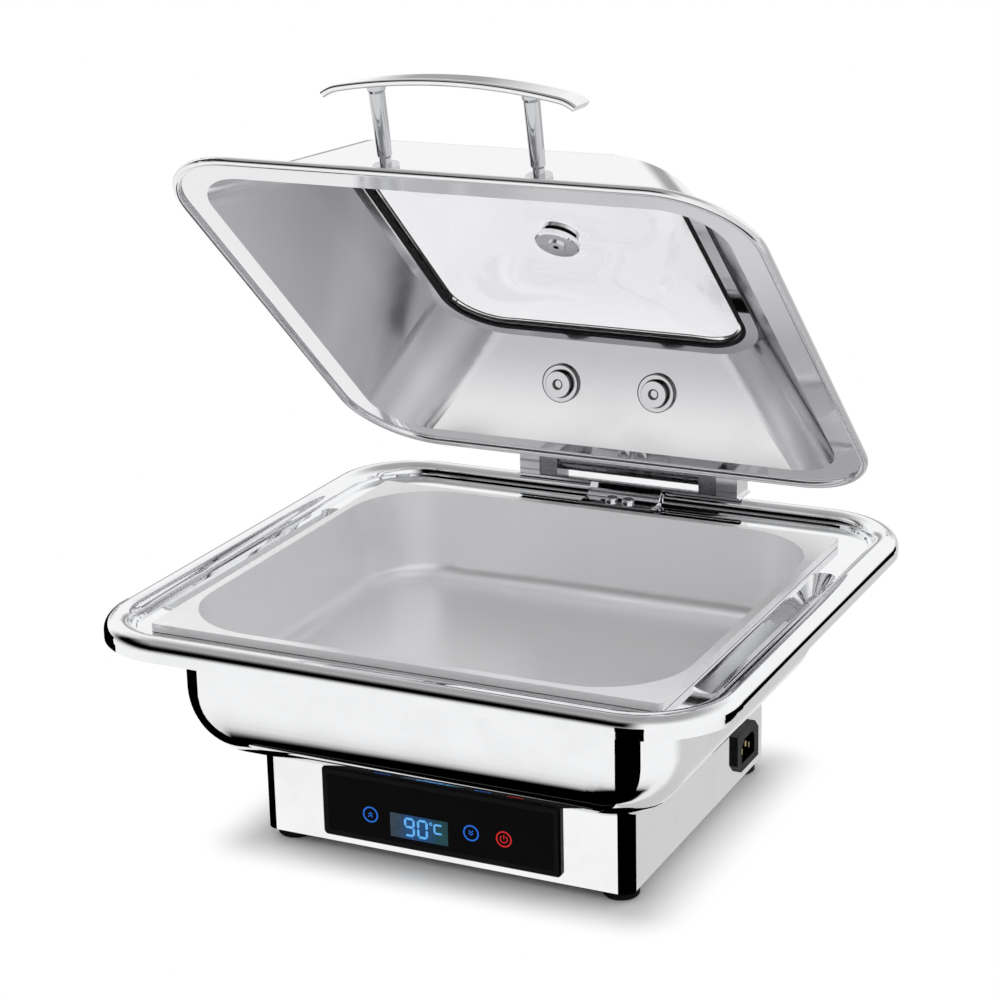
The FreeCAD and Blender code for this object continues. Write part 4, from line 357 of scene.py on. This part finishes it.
def turned_steel(name, face_tint, painted_shade_tint):
    """The lid's round nuts and bolts: bright faces across their axis, and painted shade on their sides
    and in the seams between their steps.
    """
    made = Shader(name, face_tint, 1.0, 0.14)
    normal = made.own_normal()
    along = made.leaning(normal[1], normal[2], NUT_AXIS)
    # Painted shade on the sides, which face away from the axis
    dark = made.span(made.math("ABSOLUTE", along), 0.8, 0.97, 1, 0)
    x, y, z = made.parts(made.place)
    aside = made.math("SUBTRACT", made.math("ABSOLUTE", x), NUT_CENTRE[0])
    back, above = made.math("SUBTRACT", y, NUT_CENTRE[1]), made.math("SUBTRACT", z, NUT_CENTRE[2])
    upward = made.leaning(back, above, (-NUT_AXIS[1], NUT_AXIS[0]))
    radius = made.math("SQRT", made.math("ADD", made.math("MULTIPLY", aside, aside),
                                         made.math("MULTIPLY", upward, upward)))
    # Painted shade in the seams between the steps
    for seam, half in NUT_SHADED_SEAMS:
        dark = made.math("MAXIMUM", dark, made.band(radius, seam, half, SHADED_SEAM_EDGE))
    made.set("Base Color", made.mix(dark, face_tint, painted_shade_tint))
    return made.material


# The open lid: its tilt, and the y and z of its back edge
LID_TILT = math.radians(42.7)
LID_BACK = (0.171317, 0.194437)

# The round nuts: the y and z of their axis, the right one's centre, and the radius and half width of each
# seam where shade is painted
NUT_AXIS = (0.994, -0.11)
NUT_CENTRE = (0.037, 0.1555, 0.2542)
NUT_SHADED_SEAMS = [(0.0034, 0.0006), (0.0099, 0.0006), (0.0137, 0.0005)]
SHADED_SEAM_EDGE = 0.0002

POLISHED = chrome("polished steel")
PAN_STEEL = chrome("polished pan steel", rough=0.03, smudge=0.04, wave=0.12)
# The lid's second tint is the painted shade on its inner walls
LID_STEEL = lid_steel("polished lid steel", (0.9, 0.9, 0.91), (0.6, 0.6, 0.625))
BASE_STEEL = chrome("polished base steel", (0.93, 0.932, 0.938), rough=0.05, smudge=0.05, wave=0.35)
SMALL_CHROME = chrome("chromed fittings", (0.8, 0.805, 0.815), rough=0.05, smudge=0.05, wave=0.2)
POST_STEEL = chrome("turned posts", (0.62, 0.625, 0.64), rough=0.06, smudge=0.05, wave=0.2)
TRAY_STEEL = satin("satin food pan", (0.985, 0.985, 0.995), 0.3)
COVER_STEEL = brushed("satin cover", (0.7, 0.705, 0.71), 0.34, (0.04, 1, 1))
DARK_STEEL = plated("dark hinge steel", (0.32, 0.32, 0.335), 0.22)
# The nuts' second tint is the painted shade on their sides and in their seams
NUT_STEEL = turned_steel("turned nuts", (0.7, 0.7, 0.715), (0.07, 0.07, 0.075))
SHAFT_STEEL = plated("ground shaft", (0.7, 0.7, 0.71), 0.18)
ZINC = plated("zinc plated steel", (0.68, 0.69, 0.7), 0.3)
SHEATH = plated("heater sheath", (0.36, 0.38, 0.34), 0.42)
CAST = plated("cast aluminium", (0.72, 0.725, 0.73), 0.48)
BRASS = plated("brass pins", (0.83, 0.66, 0.32), 0.25)
RUBBER = moulded("black rubber", (0.008, 0.008, 0.008), 0.62)
GASKET = moulded("black silicone", (0.005, 0.005, 0.006), 0.3, 0.00001)
PLASTIC = moulded("black moulding", (0.002, 0.002, 0.0025), 0.3, 0.00002)
PARTS = moulded("board parts", (0.03, 0.035, 0.06), 0.35)
TOUCH = glossy_black("printed touch glass", (0.0005, 0.0005, 0.001))
CLEAR = clear_glass("window glass", (0.95, 0.945, 0.965))
CERAMIC = ceramic("glazed ceramic", (0.78, 0.76, 0.7))
BOARD = board("circuit board", (0.02, 0.16, 0.06), (0.05, 0.26, 0.1))
SCREEN = lit_screen("display window")
BLUE = glowing("blue light", (0.12, 0.42, 0.85), 1.0)
DEEP_BLUE = glowing("blue key light", (0.02, 0.14, 0.62), 1.0)
RED = glowing("red key light", (0.62, 0.02, 0.02), 0.9)

LOOKS = {
    POLISHED: ["rim_skirt", "window_ring", "handle_bar", "hinge_plate"],
    PAN_STEEL: ["water_pan"],
    LID_STEEL: ["lid_shell"],
    BASE_STEEL: ["base_housing"],
    POST_STEEL: ["post_collars", "handle_post_left", "handle_post_right"],
    SMALL_CHROME: ["lid_bracket", "hinge_plate_bolts", "hinge_knuckle_left", "hinge_knuckle_right",
                   "vent_body", "vent_disc"],
    TRAY_STEEL: ["food_pan"],
    COVER_STEEL: ["bottom_cover"],
    DARK_STEEL: ["hinge_bushing_left", "hinge_bushing_right", "damper_barrel"],
    NUT_STEEL: ["bracket_bolts", "bracket_round_nuts"],
    SHAFT_STEEL: ["hinge_shaft"],
    ZINC: ["heat_shield", "element_clamps", "pan_studs", "stud_nuts", "shield_spacers",
           "foot_screws", "foot_nuts", "cover_screws", "board_screws", "handle_screws",
           "hinge_plate_nuts", "touch_springs", "temperature_sensor", "thermal_cutout"],
    SHEATH: ["heating_element"],
    CAST: ["heating_plate"],
    BRASS: ["element_pins", "inlet_pins"],
    RUBBER: ["foot_front_left", "foot_front_right", "foot_rear_left", "foot_rear_right",
             "vent_seals"],
    GASKET: ["window_gasket"],
    PLASTIC: ["panel_frame", "power_inlet"],
    TOUCH: ["touch_glass"],
    PARTS: ["board_parts", "display_module"],
    CLEAR: ["window_glass"],
    CERAMIC: ["element_insulators", "terminal_block"],
    BOARD: ["control_board"],
}


def dress(piece, material):
    """Gives the whole piece one material."""
    slots = piece.data.materials
    if len(slots) == 0:
        slots.append(material)
    for index in range(len(slots)):
        slots[index] = material


for material, names in LOOKS.items():
    for name in names:
        dress(nodes[name], material)


# Pieces of the touch panel

def new_piece(name, mesh, body, material):
    """A piece from a bmesh, riding on a body."""
    data = bpy.data.meshes.new(name)
    bmesh.ops.recalc_face_normals(mesh, faces=mesh.faces)
    mesh.to_mesh(data)
    mesh.free()
    piece = bpy.data.objects.new(name, data)
    scene.collection.objects.link(piece)
    dress(piece, material)
    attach(piece, body)


def plate(mesh, outline, front, back):
    """A flat solid from an outline (x, z) between two depths."""
    rings = [[mesh.verts.new((x, y, z)) for x, z in outline] for y in (front, back)]
    mesh.faces.new(rings[0])
    mesh.faces.new(list(reversed(rings[1])))
    for index in range(len(outline)):
        following = (index + 1) % len(outline)
        mesh.faces.new((rings[0][index], rings[0][following], rings[1][following], rings[1][index]))


def ring_plate(mesh, x, z, outer, inner, front, back, start=0.0, stop=math.tau, steps=48):
    """A flat ring, or a part of one, between two depths."""
    whole = stop - start > math.tau - 0.001
    count = steps if whole else steps + 1
    rings = []
    for index in range(count):
        angle = start + (stop - start) * index / steps
        spot = Vector((math.cos(angle), math.sin(angle)))
        rings.append([mesh.verts.new((x + radius * spot.x, y, z + radius * spot.y))
                      for radius, y in ((outer, front), (inner, front), (inner, back), (outer, back))])
    for index in range(count if whole else count - 1):
        here, following = rings[index], rings[(index + 1) % count]
        for side in range(4):
            after = (side + 1) % 4
            mesh.faces.new((here[side], here[after], following[after], following[side]))
    if not whole:
        mesh.faces.new(rings[0])
        mesh.faces.new(list(reversed(rings[-1])))


GLASS_FACE = low("touch_glass").y
# How far the print stands in front of the glass, and reaches into it
PRINT = 0.00012
SCREEN_PRINT = 0.00006
SUNK = 0.00002
FRONT = GLASS_FACE - PRINT
BACK = GLASS_FACE + SUNK
SEGMENTS = {"9": "abcdfg", "0": "abcdef"}
# A digit's width and height, its foot, and how wide its strokes are
DIGIT_SIZE = (0.0062, 0.0118)
DIGIT_FOOT = 0.0236
DIGIT_STROKE = 0.0017


def bar(mesh, start, stop, width):
    """A display segment with pointed ends, from start to stop in (x, z)."""
    start, stop = Vector(start), Vector(stop)
    along = (stop - start).normalized()
    side = Vector((-along.y, along.x)) * width / 2
    shoulder = along * width / 2
    points = [start, start + shoulder + side, stop - shoulder + side,
              stop, stop - shoulder - side, start + shoulder - side]
    plate(mesh, [(point.x, point.y) for point in points], FRONT, BACK)


def digit(mesh, character, left):
    """A seven-segment digit from its left edge."""
    gap = DIGIT_STROKE * 0.12
    right = left + DIGIT_SIZE[0]
    bottom, top = DIGIT_FOOT, DIGIT_FOOT + DIGIT_SIZE[1]
    centre = (bottom + top) / 2
    lines = {"a": ((left, top), (right, top)), "b": ((right, centre), (right, top)),
             "c": ((right, bottom), (right, centre)), "d": ((left, bottom), (right, bottom)),
             "e": ((left, bottom), (left, centre)), "f": ((left, centre), (left, top)),
             "g": ((left, centre), (right, centre))}
    for name in SEGMENTS[character]:
        start, stop = (Vector(point) for point in lines[name])
        inset = (stop - start).normalized() * gap
        bar(mesh, start + inset, stop - inset, DIGIT_STROKE)


def make_display():
    """The lit window with its two digits, a degree ring and a C."""
    left, right = -0.0355, 0.0065
    base, top = 0.0209, 0.0379
    window = bmesh.new()
    plate(window, [(left, base), (right, base), (right, top), (left, top)],
          GLASS_FACE - SCREEN_PRINT, BACK)
    new_piece("display_face", window, "base", SCREEN)
    digits = bmesh.new()
    for character, digit_left in (("9", -0.0245), ("0", -0.0150)):
        digit(digits, character, digit_left)
    letter_left, letter_right = -0.0032, 0.0022
    letter_foot, letter_top, letter_stroke = 0.0285, 0.0345, 0.0014
    degree_x, degree_outer, degree_inner = -0.0058, 0.0012, 0.0006
    ring_plate(digits, degree_x, letter_top, degree_outer, degree_inner, FRONT, BACK, steps=24)
    for level in (letter_top, letter_foot):
        bar(digits, (letter_left, level), (letter_right, level), letter_stroke)
    bar(digits, (letter_left, letter_foot), (letter_left, letter_top), letter_stroke)
    new_piece("display_digits", digits, "base", BLUE)


# The height of the keys' centres, and the outer and inner radius of their rings
KEY_LEVEL = 0.0334
KEY_RING = (0.0056, 0.0046)


def power_sign(mesh, x, z):
    """An open ring with a bar at its top."""
    outer, inner = 0.0028, 0.0021
    half, length = 0.0003, 0.0031
    start, stop = math.radians(125), math.radians(415)
    ring_plate(mesh, x, z, outer, inner, FRONT, BACK, start, stop, 28)
    plate(mesh, [(x - half, z), (x + half, z), (x + half, z + length), (x - half, z + length)],
          FRONT, BACK)


def double_arrow(mesh, x, z, turn):
    """Two chevrons that point up (turn 1) or down (turn -1)."""
    half, rise, step = 0.0016, 0.0014, 0.0009
    stroke_side, stroke_tip = 0.0007, 0.0008
    for shift in (-step, step):
        tip = z + turn * (shift + step)
        foot = tip - turn * rise
        outline = [(x - half, foot), (x, tip), (x + half, foot), (x + half, foot - turn * stroke_side),
                   (x, tip - turn * stroke_tip), (x - half, foot - turn * stroke_side)]
        plate(mesh, outline[::turn], FRONT, BACK)


def make_keys():
    """Three ringed touch keys: up, down and power."""
    for name, x, material in (("left", -0.0500, DEEP_BLUE), ("middle", 0.0232, DEEP_BLUE),
                              ("right", 0.0466, RED)):
        mark = bmesh.new()
        ring_plate(mark, x, KEY_LEVEL, *KEY_RING, FRONT, BACK)
        if name == "right":
            power_sign(mark, x, KEY_LEVEL)
        else:
            double_arrow(mark, x, KEY_LEVEL, 1 if name == "left" else -1)
        new_piece(f"key_{name}", mark, "base", material)


make_display()
make_keys()


# Floor, light and camera

# Middle, half width and soft edge of the shade under the dish, across and front to back
SHADE_ACROSS = (-0.02, 0.14, 0.004)
SHADE_DEEP = (-0.005, 0.122, 0.003)
FLOOR_FADE = 0.045
FLOOR_HALF = 6.0


def under_dish(made):
    """Where the floor lies in the dish's shade, as its polished underside shows it."""
    x, y, _ = made.parts(made.place)
    return made.math("MULTIPLY", made.band(x, *SHADE_ACROSS), made.band(y, *SHADE_DEEP))


def far_share(made):
    """How far the floor has turned into the white backdrop, away from the base."""
    place = made.parts(made.place)
    base_low, base_high = low("base_housing"), high("base_housing")
    beyond = []
    for axis in (0, 1):
        centre = (base_low[axis] + base_high[axis]) / 2
        half = (base_high[axis] - base_low[axis]) / 2
        off = made.math("ABSOLUTE", made.math("SUBTRACT", place[axis], centre))
        beyond.append(made.math("MAXIMUM", made.math("SUBTRACT", off, half), 0))
    squares = [made.math("MULTIPLY", value, value) for value in beyond]
    return made.span(made.math("SQRT", made.math("ADD", *squares)), 0.0, FLOOR_FADE, 0.0, 1.0)


def studio_piece(name, mesh, material):
    """A piece of the studio from a bmesh."""
    data = bpy.data.meshes.new(name)
    mesh.to_mesh(data)
    mesh.free()
    piece = bpy.data.objects.new(name, data)
    scene.collection.objects.link(piece)
    dress(piece, material)
    return piece


def make_floor():
    """A pale floor that keeps the dish's shadow and fades to white, and that mirrors see through."""
    made = Shader("pale floor", (0.95, 0.95, 0.95), 0.0, 0.7, Specular_IOR_Level=0.0)
    white = made.node("ShaderNodeEmission")
    faded = made.node("ShaderNodeMixShader")
    made.tree.links.new(made.math("MULTIPLY", made.camera_ray(), far_share(made)), faded.inputs[0])
    made.tree.links.new(made.surface.outputs[0], faded.inputs[1])
    made.tree.links.new(white.outputs[0], faded.inputs[2])
    clear = made.node("ShaderNodeBsdfTransparent")
    made.tree.links.new(made.math("SUBTRACT", 1, under_dish(made)), clear.inputs["Color"])
    shown = made.node("ShaderNodeMixShader")
    made.tree.links.new(made.mirrored_ray(), shown.inputs[0])
    made.tree.links.new(faded.outputs[0], shown.inputs[1])
    made.tree.links.new(clear.outputs[0], shown.inputs[2])
    made.tree.links.new(shown.outputs[0], made.tree.nodes["Material Output"].inputs["Surface"])
    grid = bmesh.new()
    bmesh.ops.create_grid(grid, x_segments=1, y_segments=1, size=FLOOR_HALF)
    floor = studio_piece("floor", grid, made.material)


# The black cards: the radius of the base's corners, the x and y of the right corners that they stand
# round, their foot, how far they end below the top of the base, and how many faces each has
BASE_CORNER = 0.009
PAN_CORNER = (0.1235, -0.126)
BEAD_CORNER = (0.1554, -0.151)
CARD_FOOT = -0.03
CARD_DROP = 0.011
CARD_STEPS = 24


def make_card(name, centre, away, angles, levels, black):
    """An upright card along an arc about a centre, between two angles and two levels."""
    card = bmesh.new()
    before = None
    for step in range(CARD_STEPS + 1):
        angle = math.radians(angles[0] + (angles[1] - angles[0]) * step / CARD_STEPS)
        spot = (centre[0] + away * math.cos(angle), centre[1] + away * math.sin(angle))
        edge = [card.verts.new((*spot, level)) for level in levels]
        if before:
            card.faces.new((before[0], edge[0], edge[1], before[1]))
        before = edge
    piece = studio_piece(f"card_{name}", card, black)
    piece.visible_camera = False
    piece.visible_diffuse = False
    piece.visible_transmission = False
    piece.visible_shadow = False


def make_cards():
    """Black cards round the front corners and along the right side, seen only as reflections."""
    black = Shader("black card", (0.0, 0.0, 0.0), 0.0, 1.0, Specular_IOR_Level=0.0).material
    base_low, base_high = low("base_housing"), high("base_housing")
    base_left = (base_low.x + BASE_CORNER, base_low.y + BASE_CORNER)
    base_right = (base_high.x - BASE_CORNER, base_low.y + BASE_CORNER)
    base_levels = (CARD_FOOT, base_high.z - CARD_DROP)
    pan_levels, bead_levels = (CARD_FOOT, 0.15), (0.108, 0.172)
    # Name, centre, distance from it, first and last angle, and foot and top
    cards = [
        ("base_left", base_left, 0.03, (90, 247), base_levels),
        ("base_right", base_right, 0.03, (-105, 47), base_levels),
        ("pan_right", PAN_CORNER, 0.06, (-66, -45), pan_levels),
        ("pan_left", (-PAN_CORNER[0], PAN_CORNER[1]), 0.06, (171, 227), pan_levels),
        ("bead_left", (-BEAD_CORNER[0], BEAD_CORNER[1]), 0.122, (149, 205), bead_levels),
        ("bead_right", BEAD_CORNER, 0.122, (-93, -69), bead_levels),
        ("bead_side", (-3.0, 0.02), 3.238, (-3.2, 3.4), (0.149, 0.163))]
    for card in cards:
        make_card(*card, black)


# How bright the studio is in mirrors, and how deep its shades are, from the floor (-1) to overhead (1)
FROM_THE_FRONT = [(-0.70, 0.88), (-0.45, 0.98), (-0.15, 0.97), (0.0, 0.82), (0.22, 0.2), (0.32, 0.0),
                  (0.60, 0.0), (0.69, 0.1), (0.82, 0.42), (0.95, 0.34)]
ALL_ROUND = [(-0.9, 0.9), (-0.6, 0.97), (-0.2, 1.0), (0.55, 1.0), (0.72, 0.75), (0.85, 0.45),
             (0.95, 0.4)]
UNDERNEATH = [(-0.865, 1.0), (-0.82, 0.4), (-0.76, 0.1), (-0.66, 0.0)]
RIGHT_SHADE = [(-0.02, 1.0), (0.06, 0.0)]
BACK_GLOOM = [(0.02, 0.0), (0.10, 1.0), (0.20, 1.0), (0.30, 0.0)]


def make_world():
    """White to the camera, a soft dome to matt surfaces, and gradients and shades to polished ones."""
    world = bpy.data.worlds.new("studio")
    world.use_nodes = True
    scene.world = world
    made = Tree(world.node_tree)
    x, y, z = made.parts(made.node("ShaderNodeTexCoord").outputs["Generated"])
    azimuth = made.math("ARCTAN2", y, x)
    front = made.within(azimuth, -187, -80, 14)
    light = made.mix(front, made.ramp(z, ALL_ROUND), made.ramp(z, FROM_THE_FRONT))
    # Each shade's share by height, its share round about, and its depth
    shades = [
        (made.ramp(z, UNDERNEATH), made.within(azimuth, -197, 0, 8), 1.0),
        (made.span(z, -0.862, -0.846, 1, 0), made.within(azimuth, 126, 168, 4), 1.0),
        (made.ramp(z, BACK_GLOOM), made.within(azimuth, 90, 140, 10), 0.6),
        (made.ramp(z, RIGHT_SHADE), made.within(azimuth, 30, 100, 12), 0.33),
    ]
    for height, around, depth in shades:
        share = made.math("MULTIPLY", made.math("MULTIPLY", height, around), depth)
        light = made.math("MULTIPLY", light, made.math("SUBTRACT", 1, share))
    dome = made.span(z, 0.3, 0.6, 0.55, 1.11)
    path = made.node("ShaderNodeLightPath")
    plain = made.math("MAXIMUM", path.outputs["Is Camera Ray"], path.outputs["Is Transmission Ray"])
    shown = made.mix(plain, dome, (1.0, 1.0, 1.0))
    seen = made.mix(made.mirrored_ray(), shown, light)
    background = made.tree.nodes["Background"]
    background.inputs["Color"].default_value = (1, 1, 1, 1)
    made.tree.links.new(seen, background.inputs["Strength"])


# The photograph's camera: place, yaw, pitch and roll in degrees, and focal length in millimetres
CAMERA_PLACE = (0.71518, -1.49563, 0.757)
CAMERA_TURN = (25.9, 18.0, 1.31)
LENS = 94.35


def make_camera():
    """The camera, turned so that the picture's edges fall where the photograph's do."""
    yaw, pitch, roll = (math.radians(angle) for angle in CAMERA_TURN)
    ahead = Vector((-math.sin(yaw) * math.cos(pitch), math.cos(yaw) * math.cos(pitch),
                    -math.sin(pitch)))
    right = Vector((math.cos(yaw), math.sin(yaw), 0))
    down = ahead.cross(right)
    rolled = math.cos(roll) * right + math.sin(roll) * down
    below = -math.sin(roll) * right + math.cos(roll) * down
    data = bpy.data.cameras.new("camera")
    data.lens = LENS
    data.sensor_width = 36
    data.clip_start, data.clip_end = 0.05, 50
    camera = bpy.data.objects.new("camera", data)
    scene.collection.objects.link(camera)
    turned = Matrix((rolled, -below, -ahead)).transposed()
    camera.matrix_world = Matrix.Translation(CAMERA_PLACE) @ turned.to_4x4()
    scene.camera = camera


make_floor()
make_cards()
make_world()
make_camera()
scene.view_settings.view_transform = "Standard"

bpy.context.view_layer.update()
